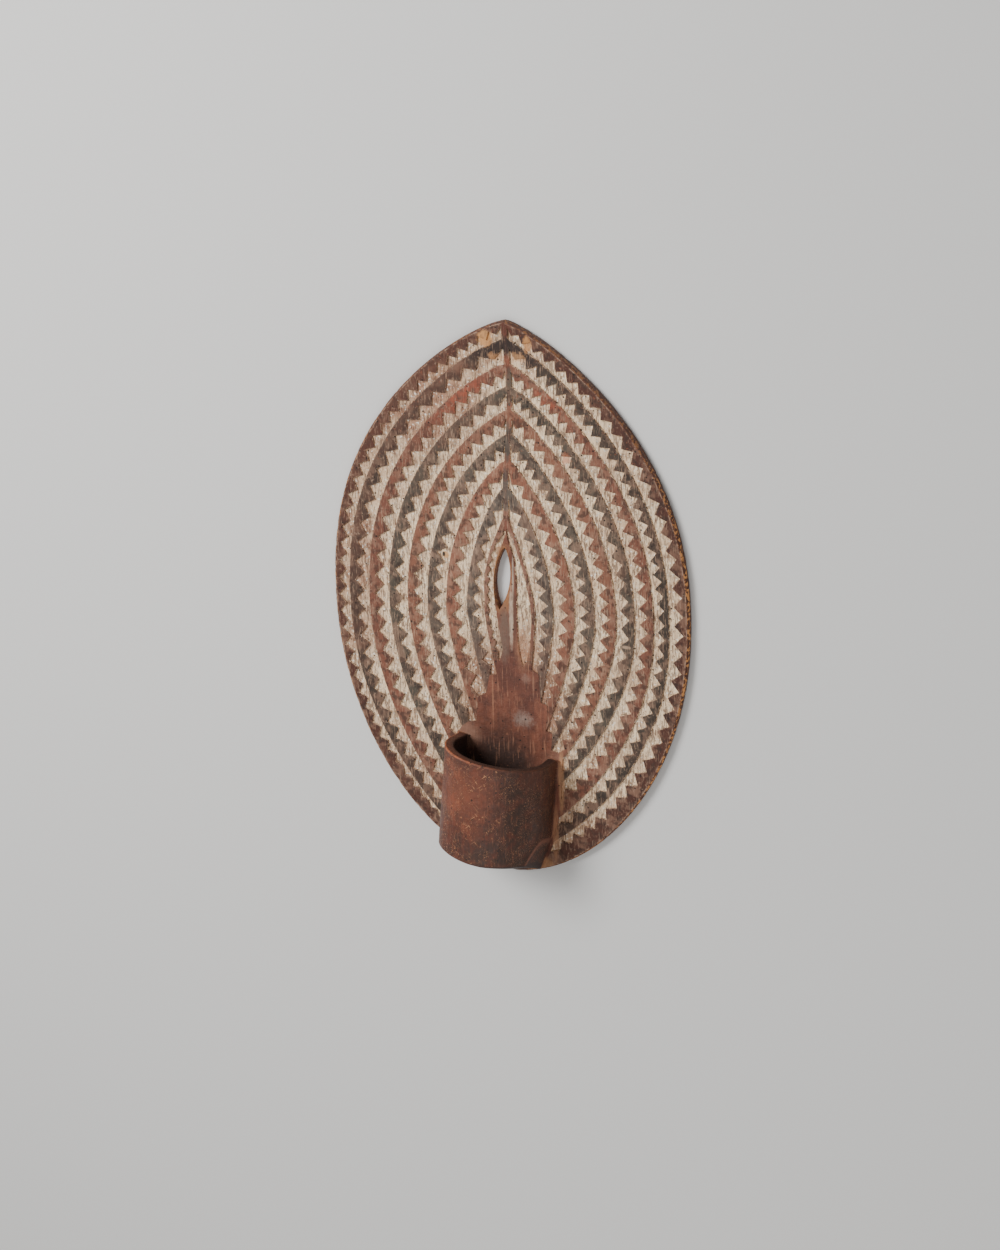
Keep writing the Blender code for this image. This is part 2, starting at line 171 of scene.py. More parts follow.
def line_half(level, h, side):
    """Half-width of a carved line: its own half-width times (1 - share to a power) to a power."""
    half_width = plate_half_width * at_level(line_sides[side], 1.0, level)
    top = plate_length * at_level(line_tops, 1.0, level)
    foot = plate_length * at_level(line_feet[side], 0.0, level)
    rising = np.clip((h - line_widest_height) / (top - line_widest_height), 0, 1)
    falling = np.clip((line_widest_height - h) / (line_widest_height - foot), 0, 1)
    upper = (1 - rising ** (line_top_power - line_top_power_loss * level)) ** line_top_fullness
    lower = ((1 - falling ** (line_foot_power - line_foot_power_loss * level))
             ** (line_foot_fullness + line_foot_fullness_gain * level))
    half = half_width * np.where(h >= line_widest_height, upper, lower)
    if level == row_count:
        half = half - np.interp(h, last_line_heights, last_line_inward[side], left=0, right=0)
    return half


def plain_half(h, side):
    """Half-width of the plain ground from its table, and straight below the table's first height."""
    heights, halves = plain_steps[side]
    beside = plain_half_width + side * ring_lean * (h - plain_straight_height)
    return np.where(h < heights[0], beside, np.interp(h, heights, halves))


def swayed(x, h):
    """x moved with the spine, which bends to the right by half a sine wave near the top."""
    share = np.clip((h - spine_sway_low) / (plate_length - spine_sway_low), 0, 1)
    nearness = np.clip(1 - np.abs(x) / np.maximum(rim_half(h), 0.001), 0, 1) ** 2
    return x + spine_sway * np.sin(np.pi * share) * nearness


def runs_along(points):
    """Length walked along a line of points up to each of them."""
    return np.concatenate([[0], np.cumsum(np.hypot(*np.diff(points, axis=0).T))])


def columns_at(table, at, wanted):
    """Rows of a table at the wanted places, every column interpolated between the places it is at."""
    return np.stack([np.interp(wanted, at, column) for column in table.T], 1)


def carved_line(level, side, steps=4000):
    """Points (x, height) of a carved line from the spine to the plain ground."""
    top = plate_length * at_level(line_tops, 1.0, level)
    h = top * np.cos(np.linspace(0, np.pi / 2, steps))
    half = line_half(level, h, side)
    past_end = np.logical_or.accumulate((h < line_widest_height) & (half < plain_half(h, side)))
    keep = (half >= spine_half_width) & ~past_end
    x = side * half[keep]
    x[0] = side * spine_half_width
    return np.stack([swayed(x, h[keep]), h[keep]], 1)


for level in (1, row_count):
    print("line", level, "is", round(1000 * runs_along(carved_line(level, -1))[-1]), "mm long")

# %% [markdown]
# The rim is rounded over by an arris. The flat face therefore ends a little inside the outline, on
# a line moved inwards along the outline's own normal. Both are kept side by side, so that the face
# and the edge of the board later share their points.

# %% Rim line, with the line just inside the arris
def rim_line(side, steps=6000):
    """Rows of rim x, rim height, normal x, normal y, inner x and inner height, from the apex to the foot."""
    h = plate_length * (1 + np.cos(np.linspace(0, np.pi, steps))) / 2
    points = np.stack([side * rim_half(h), h], 1)
    tangent = np.gradient(points, axis=0)
    tangent[0] = (side, 0)
    tangent[-1] = (-side, 0)
    tangent /= np.linalg.norm(tangent, axis=1)[:, None]
    normal = np.stack([-tangent[:, 1], tangent[:, 0]], 1) * side
    return np.hstack([points, normal, points - arris * normal])


rim_tables = {side: rim_line(side) for side in (-1, 1)}


def rim_span(side):
    """The part of the rim table from the spine to the plain ground, and its last index."""
    table = rim_tables[side]
    inner_half = np.abs(table[:, 4])
    first = np.argmax(inner_half >= spine_half_width)
    lower = table[:, 5] < widest_height
    last = np.argmax(lower & (inner_half <= plain_half(table[:, 5], side)))
    return table[first:last + 1], last


for side in (-1, 1):
    print("rim ends on side", side, "at height", round(1000 * rim_span(side)[0][-1, 5], 1), "mm")

# %% [markdown]
# ## Rows of teeth
# Each row was cut with a knife: a smooth line, and teeth left standing against the sunk, whitened
# ground. A modifier or a texture would blur the teeth, so each row is a strip of its own: stations
# run along it, with one on every tip and every notch, and a few lines cross it from the smooth
# edge over the band, down the tooth's side, over the ground to the next band.

# %% Corners of the teeth
def tooth_corners(level, side):
    """Runs and points of a row's zigzag: half a pitch from notch to tip, the pitch a parabola of the run."""
    line = carved_line(level - 0.5, side)
    runs = runs_along(line)
    row = level - 1
    stops, shares = [0.0, first_notch[side][row] / 2], [spine_share, tooth_tip]
    here = first_notch[side][row]
    last = runs[-1] - lower_pitch[side][row] * row_end_share
    while here < last:
        share = here / runs[-1]
        pitch = (upper_pitch[side][row] * (1 - share) * (1 - 2 * share)
                 + middle_pitch[side][row] * 4 * share * (1 - share)
                 + lower_pitch[side][row] * share * (2 * share - 1))
        stops += [here, here + pitch / 2]
        shares += [tooth_root, tooth_tip]
        here += pitch
    inside = np.array(stops) < last
    stops = np.append(np.array(stops)[inside], runs[-1])
    shares = np.append(np.array(shares)[inside], 0.5)
    middle = columns_at(line, runs, stops)
    tangent = columns_at(np.gradient(line, runs, axis=0), runs, stops)
    tangent /= np.linalg.norm(tangent, axis=1)[:, None]
    outward = np.stack([-tangent[:, 1], tangent[:, 0]], 1) * side
    space = line_half(level - 1, middle[:, 1], side) - line_half(level, middle[:, 1], side)
    space = np.minimum(space * np.abs(outward[:, 0]), line_spacing)
    outward[0] = (0, 1)
    space[0] = line_spacing
    return line, runs, stops, middle + outward * (space * (shares - 0.5))[:, None]


print("teeth:", sum(len(tooth_corners(level, side)[2]) // 2
                    for level in range(1, row_count + 1) for side in (-1, 1)))

# %% [markdown]
# Neighbouring lines have different lengths, so each station needs its partner on them. The nearest
# point is right along most of the row. Near the two ends the partner is eased over, so that all
# lines of a row start together at the spine and end together at the plain ground.

# %% Partners of the stations on a neighbouring line
ease_run = 0.012


def follow(line, targets, target_runs):
    """Run on a line nearest to each target, with both ends eased together by a dying exponential."""
    runs = runs_along(line)
    near = runs[np.argmin(((targets[:, None] - line[None, ::4]) ** 2).sum(2), axis=1) * 4]
    left_over = runs[-1] - near[-1]
    near = near - near[0] * np.exp(-target_runs / ease_run)
    near = near + left_over * np.exp(-(target_runs[-1] - target_runs) / ease_run)
    return np.maximum.accumulate(np.clip(near, 0, runs[-1]) + 1e-7 * np.arange(len(near)))


def at_runs(line, wanted):
    """Points of a line at given runs."""
    return columns_at(line, runs_along(line[:, -2:]), wanted)


print("partners are eased over", 1000 * ease_run, "mm")

# %% [markdown]
# Hand work is never quite regular. A small value noise stands for it: random numbers on the
# corners of a lattice, blended in each cell. It is worked out for all points at once, and it gives
# the same shield on every run because nothing in it is drawn at random.

# %% Value noise, and a soft step
def soft_step(x):
    """3t² - 2t³ of x clipped to 0 and 1."""
    t = np.clip(x, 0, 1)
    return t * t * (3 - 2 * t)


def lumps(x, y, z, size, seed):
    """Noise from -1 to 1: hashed values on a lattice with cells of a size, blended by 3t² - 2t³."""
    place = np.stack(np.broadcast_arrays(x, y, z), -1) / np.asarray(size)
    cell = np.floor(place).astype(np.int64)
    inside = soft_step(place - cell)
    total = 0
    for corner in np.ndindex(2, 2, 2):
        key = cell + corner
        mixed = key[..., 0] * 73856093 ^ key[..., 1] * 19349663 ^ key[..., 2] * 83492791
        mixed = (mixed ^ seed * 40503) & 0xffffffff
        mixed = ((mixed ^ mixed >> 15) * 739982445) & 0xffffffff
        mixed = ((mixed ^ mixed >> 12) * 695872825) & 0xffffffff
        value = (mixed >> 9 & 0xffff) / 32767.5 - 1
        total = total + value * np.prod(np.where(corner, inside, 1 - inside), -1)
    return total


knife_seed, gouge_seed, nick_seed, broad_seed, fine_seed = 11, 21, 31, 41, 43
trial = lumps(np.linspace(0, 1, 5000), 0, 0, 0.01, knife_seed)
print("noise runs from", round(trial.min(), 2), "to", round(trial.max(), 2))

# %% [markdown]
# The pieces of the surface are grids and strips of triangles. A small collector keeps their points
# and marks, and hands back the point numbers, so that the next strip can be sewn to them. Where two
# edges have different numbers of points they are sewn like a zip: the next triangle always
# advances on the side that lies behind.

# %% Collector of points and triangles
class Surface:
    """Points, marks for the finish, and triangles, gathered as whole arrays."""

    def __init__(self):
        self.points, self.marks, self.triangles, self.count = [], [], [], 0

    def add(self, points, marks):
        """Adds points of any grid shape and returns their numbers in that shape."""
        numbers = np.arange(points[..., 0].size).reshape(points.shape[:-1]) + self.count
        self.points.append(points.reshape(-1, 3))
        self.marks.append(np.broadcast_to(marks, points.shape[:-1] + (4,)).reshape(-1, 4).astype(float))
        self.count += numbers.size
        return numbers

    def weave(self, numbers):
        """Two triangles for each cell of a grid of numbers."""
        a, b, c, d = numbers[:-1, :-1], numbers[1:, :-1], numbers[1:, 1:], numbers[:-1, 1:]
        self.triangles.append(np.stack([a, b, c], -1).reshape(-1, 3))
        self.triangles.append(np.stack([a, c, d], -1).reshape(-1, 3))

    def zip(self, first, first_at, second, second_at):
        """Sews two edges of points: each step of one meets the other at the step's middle."""
        first_step = (first_at[1:] + first_at[:-1]) / 2
        second_step = (second_at[1:] + second_at[:-1]) / 2
        meet = np.searchsorted(second_step, first_step, side="left")
        self.triangles.append(np.stack([first[:-1], first[1:], second[meet]], 1))
        meet = np.searchsorted(first_step, second_step, side="right")
        self.triangles.append(np.stack([second[:-1], second[1:], first[meet]], 1))

    def merged(self):
        """Points without doubles, their marks, and the triangles that keep an area."""
        points, marks = np.vstack(self.points), np.vstack(self.marks)
        _, keep, number = np.unique(np.round(points / 2e-7).astype(np.int64), axis=0,
                                    return_index=True, return_inverse=True)
        triangles = number.reshape(-1)[np.vstack(self.triangles)]
        a, b, c = triangles.T
        return points[keep], marks[keep], triangles[(a != b) & (b != c) & (c != a)]


print("collector ready")

# %% [markdown]
# One function lays a whole row. Four marks ride with the points, and the finish reads them: the
# distance from the nearest cut in millimetres, above 0 on the ground; the number of the row; how
# near an edge the point is; and a last one for the bore of the ring and the spine.

# %% Values for the rows, and the gouge marks of the ground
tooth_steps = 5
row_lines, ground_start, next_band_start = 9, 5, 7
edge_soft = 0.00055
edge_drop = 0.00030
end_ramp = 0.0006
hand_wobble, wobble_size, next_row_shift = 0.0004, 0.004, 0.1
floor_unevenness, gouge_size = 0.22, (0.002, 0.006, 1)
far_inside = -4.0
rim_band_reach = 0.004
bare = np.array([far_inside, 0, 0, 0])
worn = np.array([0, 0, 1.0, 0])


def gouged(depth, x, y):
    """Depth of the ground under gouge marks: the depth times 1 plus a share of lumps that run along."""
    return depth * (1 + floor_unevenness * lumps(x, y, 0, gouge_size, gouge_seed))


print("lines across a row:", row_lines)

# %% Lines of a row, before they get a height
def row_grid(level, side):
    """Points (x, height) of a row: outer edge, mid band, tooth edge, ground, the next band's foot."""
    line, runs, stops, corners = tooth_corners(level, side)
    place = np.linspace(0, len(stops) - 1, (len(stops) - 1) * tooth_steps + 1)
    here = np.interp(place, np.arange(len(stops)), stops)
    here = np.union1d(here, [end_ramp, runs[-1] - end_ramp])
    from_ends = np.minimum(here, runs[-1] - here)
    live = soft_step(from_ends / end_ramp)
    teeth = columns_at(corners, stops, here)
    middle = columns_at(line, runs, here)
    outer_line = rim_span(side)[0] if level == 1 else carved_line(level - 1, side)
    outer_runs = follow(outer_line[:, -2:], middle, here)
    outer_points = at_runs(outer_line, outer_runs)
    outer = outer_points[:, -2:]
    inner_line = carved_line(level, side)
    inner_runs = follow(inner_line, middle, here)
    inner = at_runs(inner_line, inner_runs)
    wobble = lumps(teeth[:, 0], teeth[:, 1], level * next_row_shift, wobble_size, knife_seed)
    cut_wobble = wobble * hand_wobble * live
    across = teeth - outer
    band_width = np.linalg.norm(across, axis=1)
    across /= band_width[:, None]
    teeth = teeth + across * cut_wobble[:, None]
    ground = inner - teeth
    ground_width = np.linalg.norm(ground, axis=1)
    ground /= ground_width[:, None]
    soft = np.minimum(edge_soft, 0.3 * np.minimum(band_width, ground_width))[:, None]
    past_outer, before_teeth = outer + across * soft, teeth - across * soft
    past_teeth, before_inner = teeth + ground * soft, inner - ground * soft
    lines = [outer, past_outer, (past_outer + before_teeth) / 2, before_teeth, teeth, past_teeth,
             past_teeth + (before_inner - past_teeth) / 3,
             past_teeth + (before_inner - past_teeth) * 2 / 3, before_inner]
    return {"flat": np.stack(lines, 1), "teeth": teeth, "inner": inner, "outer": outer_points,
            "outer_runs": outer_runs, "inner_runs": inner_runs, "from_ends": from_ends, "live": live}


print("stations along the longest row:", len(row_grid(1, 1)["flat"]))

# %% One row of teeth
def row_strip(surface, level, side, depth, face):
    """Lays a row: heights from the drop of each line, then the marks, then the triangles."""
    row = row_grid(level, side)
    flat, live = row["flat"], row["live"]
    drop = np.array([0 if level == 1 else edge_drop, 0, 0, 0, edge_drop, 1, 1, 1, 1])
    sunk = np.where(drop == 1, gouged(depth, flat[..., 0], flat[..., 1]), drop) * live[:, None]
    points = np.dstack([flat, plate_thickness - sunk if face > 0 else sunk])
    to_teeth, to_outer, to_inner = (np.linalg.norm(flat - other[:, None], axis=2)
                                    for other in (row["teeth"], row["outer"][:, -2:], row["inner"]))
    on_ground = np.arange(row_lines) >= ground_start
    reach_in = np.minimum(np.minimum(to_teeth, to_inner), row["from_ends"][:, None])
    reach_out = np.minimum(to_teeth, to_outer if level > 1 else rim_band_reach)
    marks = np.zeros(points.shape[:2] + (4,))
    marks[..., 0] = 1000 * np.where(on_ground, reach_in, -reach_out)
    marks[..., 1] = level + (np.arange(row_lines) >= next_band_start)
    marks[..., 2] = (1, 0.5, 0, 0.5, 1, 0, 0, 0, 0)
    row["numbers"] = surface.add(points, marks)
    surface.weave(row["numbers"])
    return row


trial = Surface()
row_strip(trial, 1, 1, recess_depth, 1)
print("points in the longest row:", trial.count)

# %% [markdown]
# ## Inner sheet
# Inside the last carved line lie the plain ground, the slit and the bare fields beside it. That
# region is a grid too: stations down the shield, and lines that run from the border to the middle.
# The lines follow the edges of the fields and of the slit, so those edges stay crisp.

# %% Slit and field edges
slit_bevel_width, slit_bevel_depth = {-1: 0.0015, 1: 0.0036}, 0.0016
little_tooth_pitch, little_tooth_height = 0.0112, 0.0034
little_teeth_low, little_teeth_high, little_teeth_fade = 0.236, 0.378, 0.02
little_teeth_out, field_fade = 0.45, 0.0015


def slit_half(h):
    """Half-width of the slit: its widest times (1 - share²) of its half-length."""
    share = np.clip((h - slit_centre) / (slit_length / 2), -1, 1)
    return slit_widest * (1 - share ** 2)


def sheet_middle(h):
    """x of the line where the halves meet: the slit's leaning axis, eased to the spine past its ends."""
    beyond = np.maximum(np.abs(h - slit_centre) - slit_length / 2, 0)
    return (slit_offset + slit_lean * (h - slit_centre)) * soft_step(1 - beyond / slit_ease)


field_heights = {-1: (0.236, 0.250, 0.260, 0.270, 0.280, 0.290, 0.300, 0.310, 0.320, 0.330, 0.340, 0.350,
                      0.360, 0.370, 0.380),
                 1: (0.234, 0.240, 0.250, 0.260, 0.270, 0.285, 0.300, 0.312, 0.322, 0.332, 0.342, 0.352,
                     0.362, 0.372, 0.382)}
field_inner = {-1: (0.010, 0.0055, 0.0075, 0.0095, 0.0110, 0.0125, 0.0140, 0.0148, 0.0152, 0.0148, 0.0128,
                    0.0108, 0.0070, 0.0030, 0.0002),
               1: (0.017, 0.0145, 0.0125, 0.0115, 0.0110, 0.0105, 0.0105, 0.0105, 0.0104, 0.0100, 0.0095,
                   0.0080, 0.0045, 0.0012, 0.0002)}
field_outer = {-1: (0.010, 0.0130, 0.0160, 0.0185, 0.0205, 0.0213, 0.0218, 0.0215, 0.0213, 0.0207, 0.0192,
                    0.0172, 0.0140, 0.0085, 0.0008),
               1: (0.017, 0.0205, 0.0232, 0.0246, 0.0256, 0.0266, 0.0256, 0.0239, 0.0218, 0.0198, 0.0168,
                   0.0139, 0.0104, 0.0076, 0.0008)}


def field_edges(h, side):
    """Outer and inner half-widths of a bare field from its table, and how open it is from 0 to 1."""
    outer = np.interp(h, field_heights[side], field_outer[side])
    inner = np.interp(h, field_heights[side], field_inner[side])
    if side < 0:
        tooth = np.abs((h / little_tooth_pitch) % 1 * 2 - 1)
        small = (soft_step((h - little_teeth_low) / little_teeth_fade)
                 * soft_step((little_teeth_high - h) / little_teeth_fade))
        outer = outer + little_tooth_height * (little_teeth_out - tooth) * small
    within = (h > field_heights[side][0]) & (h < field_heights[side][-1])
    return outer, inner, soft_step((outer - inner) / field_fade) * within


h_trial = np.linspace(slit_low, slit_high, 5)
print("slit widths in mm:", np.round(2000 * slit_half(h_trial), 1))

# %% Stations down the inner sheet
below_start = 0.0008
fine_above_slit, fine_below_ring = 0.040, 0.010


def sheet_top(level):
    """Height at which a carved line leaves the spine, a little below its start."""
    return min(carved_line(level, side)[0, 1] for side in (-1, 1)) - below_start


def foot_heights(step=0.0025):
    """Heights of the arris line round the foot, evenly spaced along it, down to its lowest point."""
    side = max((-1, 1), key=lambda one: rim_span(one)[0][-1, 5])
    arc = rim_tables[side][rim_span(side)[1]:, 4:]
    runs = runs_along(arc)
    return np.interp(np.linspace(0, runs[-1], int(runs[-1] / step) + 1), runs, arc[:, 1])


def stations(level, coarse, fine):
    """Heights from the top of the inner sheet to the foot, closer together from the slit to the ring."""
    marks = [sheet_top(level), min(sheet_top(level), slit_high + fine_above_slit), slit_high, slit_low,
             ring_top - fine_below_ring, foot_heights()[0]]
    steps = [coarse, fine, fine, fine, coarse]
    spans = [np.linspace(top, low, max(1, round((top - low) / step)) + 1)[:-1]
             for top, low, step in zip(marks, marks[1:], steps) if top - low > 1e-6]
    return np.concatenate(spans + [foot_heights()])


print("stations on the front:", len(stations(row_count, 0.0028, 0.0013)))

# %% Border and grid lines of the inner sheet
border_gap, row_end_gap = 0.0001, 0.0002
slit_to_outer, outer_to_border = 0.30, 0.08
slit_to_inner, inner_to_outer = 0.02, 0.05
soft_share, soft_least, bevel_share = 0.02, 0.0001, 0.7
open_from = 0.2


def sheet_border(level, side, heights, row_ends):
    """Half-width of the border: the last line, then the ends of the rows, then the rim round the foot."""
    line_part = line_half(level, heights, side)
    corner = heights[np.argmax((heights < line_widest_height) & (plain_half(heights, side) >= line_part))]
    ends = np.interp(heights, row_ends[:, 1], np.abs(row_ends[:, 0])) - row_end_gap
    border = np.where(heights > row_ends[-1, 1], line_part - border_gap, ends)
    table, last = rim_tables[side], rim_span(side)[1]
    on_rim = heights < table[last, 5] - 1e-9
    arc = table[last:][::-1]
    border = np.where(on_rim, np.interp(heights, arc[:, 5], np.abs(arc[:, 4])), border)
    return border, on_rim, corner


def sheet_lines(side, heights, border, columns):
    """Half-widths of the grid lines, held at shares of the gap from border to slit so they can't cross."""
    opening = slit_half(heights) + side * sheet_middle(heights)
    gap = border - opening
    outer, inner, opened = field_edges(heights, side)
    outer = np.clip(outer, opening + slit_to_outer * gap, border - outer_to_border * gap)
    inner = np.clip(inner, opening + slit_to_inner * gap, outer - inner_to_outer * gap)
    soft = np.minimum(edge_soft, soft_share * gap + soft_least)
    room = np.maximum(inner - soft - opening, 0)
    bevel_edge = opening + np.minimum(slit_bevel_width[side], bevel_share * room)
    keys = [border, border - soft, outer + soft, outer, outer - soft, inner + soft, inner,
            np.maximum(inner - soft, bevel_edge), bevel_edge, opening]
    lines = [first + (second - first) * step / count for first, second, count in zip(keys, keys[1:], columns)
             for step in range(count)]
    half = np.stack(lines + [opening], 1)
    inside_field = np.minimum(outer[:, None] - half, half - inner[:, None]) * 1000
    return half, opened[:, None], np.where(opened[:, None] > open_from, inside_field, far_inside)


print("the inner sheet starts at", round(1000 * sheet_top(row_count)), "mm")

# %% One half of the inner sheet
last_band_low, last_band_fade = 0.235, 0.02
slit_end_fade, corner_fade = 0.002, 0.003
bevel_roundness, worn_edge = 1.5, 0.6


def inner_sheet(surface, level, side, heights, columns, depth, face, row_ends):
    """Lays half of the inner sheet: a grid with sunk fields and a bevel along the slit."""
    border, on_rim, corner = sheet_border(level, side, heights, row_ends)
    half, opened, inside_field = sheet_lines(side, heights, border, columns)
    x = swayed(side * half, heights[:, None])
    x[on_rim, 0] = (side * border)[on_rim]
    x[-1] = 0
    y = np.broadcast_to(heights[:, None], x.shape)
    at = np.cumsum([0] + columns)
    index = np.arange(half.shape[1])
    in_field = ((index >= at[4]) & (index <= at[5])).astype(float)
    on_edge = np.isin(index, [at[0], at[3], at[6]]).astype(float)
    slit_share = soft_step(slit_half(heights) / slit_end_fade)[:, None]
    bevel = np.clip((index - at[8]) / max(1, at[9] - at[8]), 0, 1)[None]
    above_corner = soft_step((heights - corner) / corner_fade)[:, None]
    sunk = opened * in_field * gouged(depth, x, y)
    sunk = sunk + edge_drop * opened * np.isin(index, [at[3], at[6]])
    sunk[:, :1] += edge_drop * above_corner
    sunk = sunk + slit_bevel_depth * (slit_share * bevel) ** bevel_roundness
    points = np.dstack([x, y, plate_thickness - sunk if face > 0 else sunk])
    past_band_low = soft_step((y[:, :1] - last_band_low) / last_band_fade)
    in_band = (index[None] <= at[3]) * above_corner * past_band_low
    from_border = -1000 * (border[:, None] - half) + far_inside * (1 - above_corner)
    marks = np.zeros(points.shape[:2] + (4,))
    marks[..., 0] = np.maximum(np.maximum(inside_field if face > 0 else far_inside, from_border), far_inside)
    marks[..., 1] = (row_count + 1) * in_band if face > 0 else 0
    marks[..., 2] = np.maximum(on_edge * worn_edge * above_corner, bevel * slit_share)
    marks[-1] = bare
    numbers = surface.add(points, marks)
    surface.weave(numbers)
    return {"numbers": numbers, "points": points, "heights": heights, "on_rim": on_rim}


print("inner sheet ready")

# %% [markdown]
# ## One face of the board
# A face is its rows from the rim inwards, sewn together along the carved lines, with the spine
# between the two halves and the inner sheet in the middle. The back is plainer: one shallow row.

# %% Sew one half of a face
def sew_half(surface, levels, side, depth, face, heights, columns):
    """Rows and inner sheet of one half, sewn along their shared lines."""
    rows = [row_strip(surface, level, side, depth, face) for level in range(1, levels + 1)]
    for one, two in zip(rows, rows[1:]):
        surface.zip(one["numbers"][:, -1], one["inner_runs"], two["numbers"][:, 0], two["outer_runs"])
    row_ends = np.vstack([row["flat"][-1, ::-1] for row in rows[::-1]])
    rising = np.maximum.accumulate(row_ends[::-1, 1])
    sheet = inner_sheet(surface, levels, side, heights, columns, depth, face,
                        np.stack([row_ends[::-1, 0], rising], 1))
    sewn = np.concatenate([rows[-1]["numbers"][:-1, -1]] + [row["numbers"][-1, ::-1] for row in rows[::-1]])
    sewn_at = -np.concatenate([rows[-1]["flat"][:-1, -1, 1], row_ends[:, 1]])
    reach = np.argmax(sheet["on_rim"]) + 1
    surface.zip(sewn, np.maximum.accumulate(sewn_at), sheet["numbers"][:reach, 0], -sheet["heights"][:reach])
    start = np.concatenate([row["numbers"][0] for row in rows])
    start_heights = np.concatenate([row["flat"][0, :, 1] for row in rows])
    return {"rows": rows, "sheet": sheet, "reach": reach, "start": start, "start_heights": start_heights}


print("halves can be sewn")

# %% Sew a face together
spine_steps = 60
spine_mark = np.array([0, 0, 0, 1.0])


def whole_face(surface, levels, depth, face, coarse, fine, columns):
    """Both halves of a face with the spine between them, and the number of its highest point."""
    heights = stations(levels, coarse, fine)
    halves = {side: sew_half(surface, levels, side, depth, face, heights, columns) for side in (-1, 1)}
    left, right_half = halves[-1], halves[1]
    beside = right_half["start_heights"]
    spine_h = np.linspace(plate_length - arris, beside[-1], spine_steps)
    spine_z = plate_thickness if face > 0 else 0.0
    spine = np.stack([swayed(0 * spine_h, spine_h), spine_h, 0 * spine_h + spine_z], 1)
    per_row = (next_band_start, row_lines - next_band_start)
    start_rows = np.concatenate([np.repeat((level, level + 1), per_row) for level in range(1, levels + 1)])
    nearest = np.clip(np.searchsorted(beside[::-1], spine_h), 0, len(beside) - 1)
    spine_marks = bare + spine_mark + np.outer(start_rows[::-1][nearest], (0, 1, 0, 0))
    spine_numbers = surface.add(spine, spine_marks)
    for half in (left, right_half):
        surface.zip(half["start"], np.maximum.accumulate(-half["start_heights"]), spine_numbers, -spine_h)
    left_sheet, right_sheet = left["sheet"], right_half["sheet"]
    top_row = np.concatenate([left_sheet["numbers"][0], right_sheet["numbers"][0, ::-1]])
    top_x = np.concatenate([left_sheet["points"][0, :, 0], right_sheet["points"][0, ::-1, 0]])
    bar = np.array([left["start"][-1], spine_numbers[-1], right_half["start"][-1]])
    surface.zip(bar, np.array([top_x[0], 0, top_x[-1]]), top_row, top_x)
    return halves, spine_numbers[0]


print("steps down the spine:", spine_steps)

# %% Outer edge of a face
def rim_loop(halves, apex):
    """Numbers round the face's outer edge, with the outline's points and normals beside them."""
    numbers, outline = [[apex]], [[[0, plate_length, 0, 1]]]
    for side in (1, -1):
        row, sheet, reach = halves[side]["rows"][0], halves[side]["sheet"], halves[side]["reach"]
        arc = rim_tables[side][::-1]
        h = sheet["heights"][reach - 1:]
        foot = columns_at(arc[:, :4], arc[:, 5], h)
        part = np.concatenate([row["numbers"][:, 0], sheet["numbers"][reach - 1:, 0]])
        lines = np.vstack([row["outer"][:, :4], foot])
        numbers.append(part if side > 0 else part[::-1][1:])
        outline.append(lines if side > 0 else lines[::-1][1:])
    return np.concatenate(numbers), np.vstack(outline)


print("rim radius in mm:", round(1000 * arris, 1))

# %% Lay the front and the back
surface = Surface()
fine_station, front_station, back_station = 0.0013, 0.0028, 0.0040
front, front_apex = whole_face(surface, row_count, recess_depth, 1, front_station, fine_station,
                               [1, 2, 1, 1, 4, 1, 1, 2, 4])
back, back_apex = whole_face(surface, 1, back_row_depth, -1, back_station, fine_station,
                             [1, 8, 1, 1, 7, 1, 1, 2, 3])
print("points on both faces:", surface.count)

# %% [markdown]
# The edge of the board joins the two loops. Its profile is a quarter round at either arris with an
# upright side between, nicked all the way round as a thin hard edge is after long use.

# %% Edge of the board and wall of the slit
front_loop, outline = rim_loop(front, front_apex)
back_loop, _ = rim_loop(back, back_apex)
nick_size, nick_depth, nick_threshold = 0.0035, 0.0010, 0.1
inset = arris * np.array([0.55, 0.22, 0.03, 0, 0, 0.03, 0.22, 0.55])
upper_z = np.array([plate_thickness - 0.12 * arris, plate_thickness - 0.45 * arris,
                    plate_thickness - arris, 0.62 * plate_thickness])
level_z = np.append(upper_z, plate_thickness - upper_z[::-1])
spread = outline[:, None, :2] - outline[:, None, 2:] * inset[None, :, None]
nick = lumps(spread[..., 0], spread[..., 1], level_z * 2, nick_size, nick_seed) - nick_threshold
nick = np.clip(nick, 0, 1) * nick_depth * np.array([0.5, 1, 1, 0.4, 0.4, 1, 1, 0.5])
spread = spread - outline[:, None, 2:] * nick[..., None]
side_points = np.dstack([spread[..., 0], spread[..., 1], np.broadcast_to(level_z, nick.shape)])
side_marks = bare + np.array([0.8, 1, 1, 1, 1, 1, 0.8, 0.5])[:, None] * worn
side_numbers = surface.add(side_points, side_marks[None])
wrapped = np.hstack([front_loop[:, None], side_numbers, back_loop[:, None]])
surface.weave(np.vstack([wrapped, wrapped[:1]]))
print("stations round the rim:", len(front_loop))


def slit_column(halves, side):
    """Numbers and points of the slit's edge on one side of a face."""
    sheet = halves[side]["sheet"]
    beside = np.abs(sheet["heights"] - slit_centre) <= slit_length / 2 + 1e-9
    return sheet["numbers"][beside, -1], sheet["points"][beside, -1]


wall_shares = np.linspace(0, 1, 8)[1:-1, None]
for side in (-1, 1):
    front_numbers, front_edge = slit_column(front, side)
    back_numbers, back_edge = slit_column(back, side)
    wall_points = front_edge[:, None] + (back_edge - front_edge)[:, None] * wall_shares
    wall = surface.add(wall_points, bare + worn * worn_edge)
    surface.weave(np.hstack([front_numbers[:, None], wall, back_numbers[:, None]]))
print("stations down the slit:", len(front_numbers))

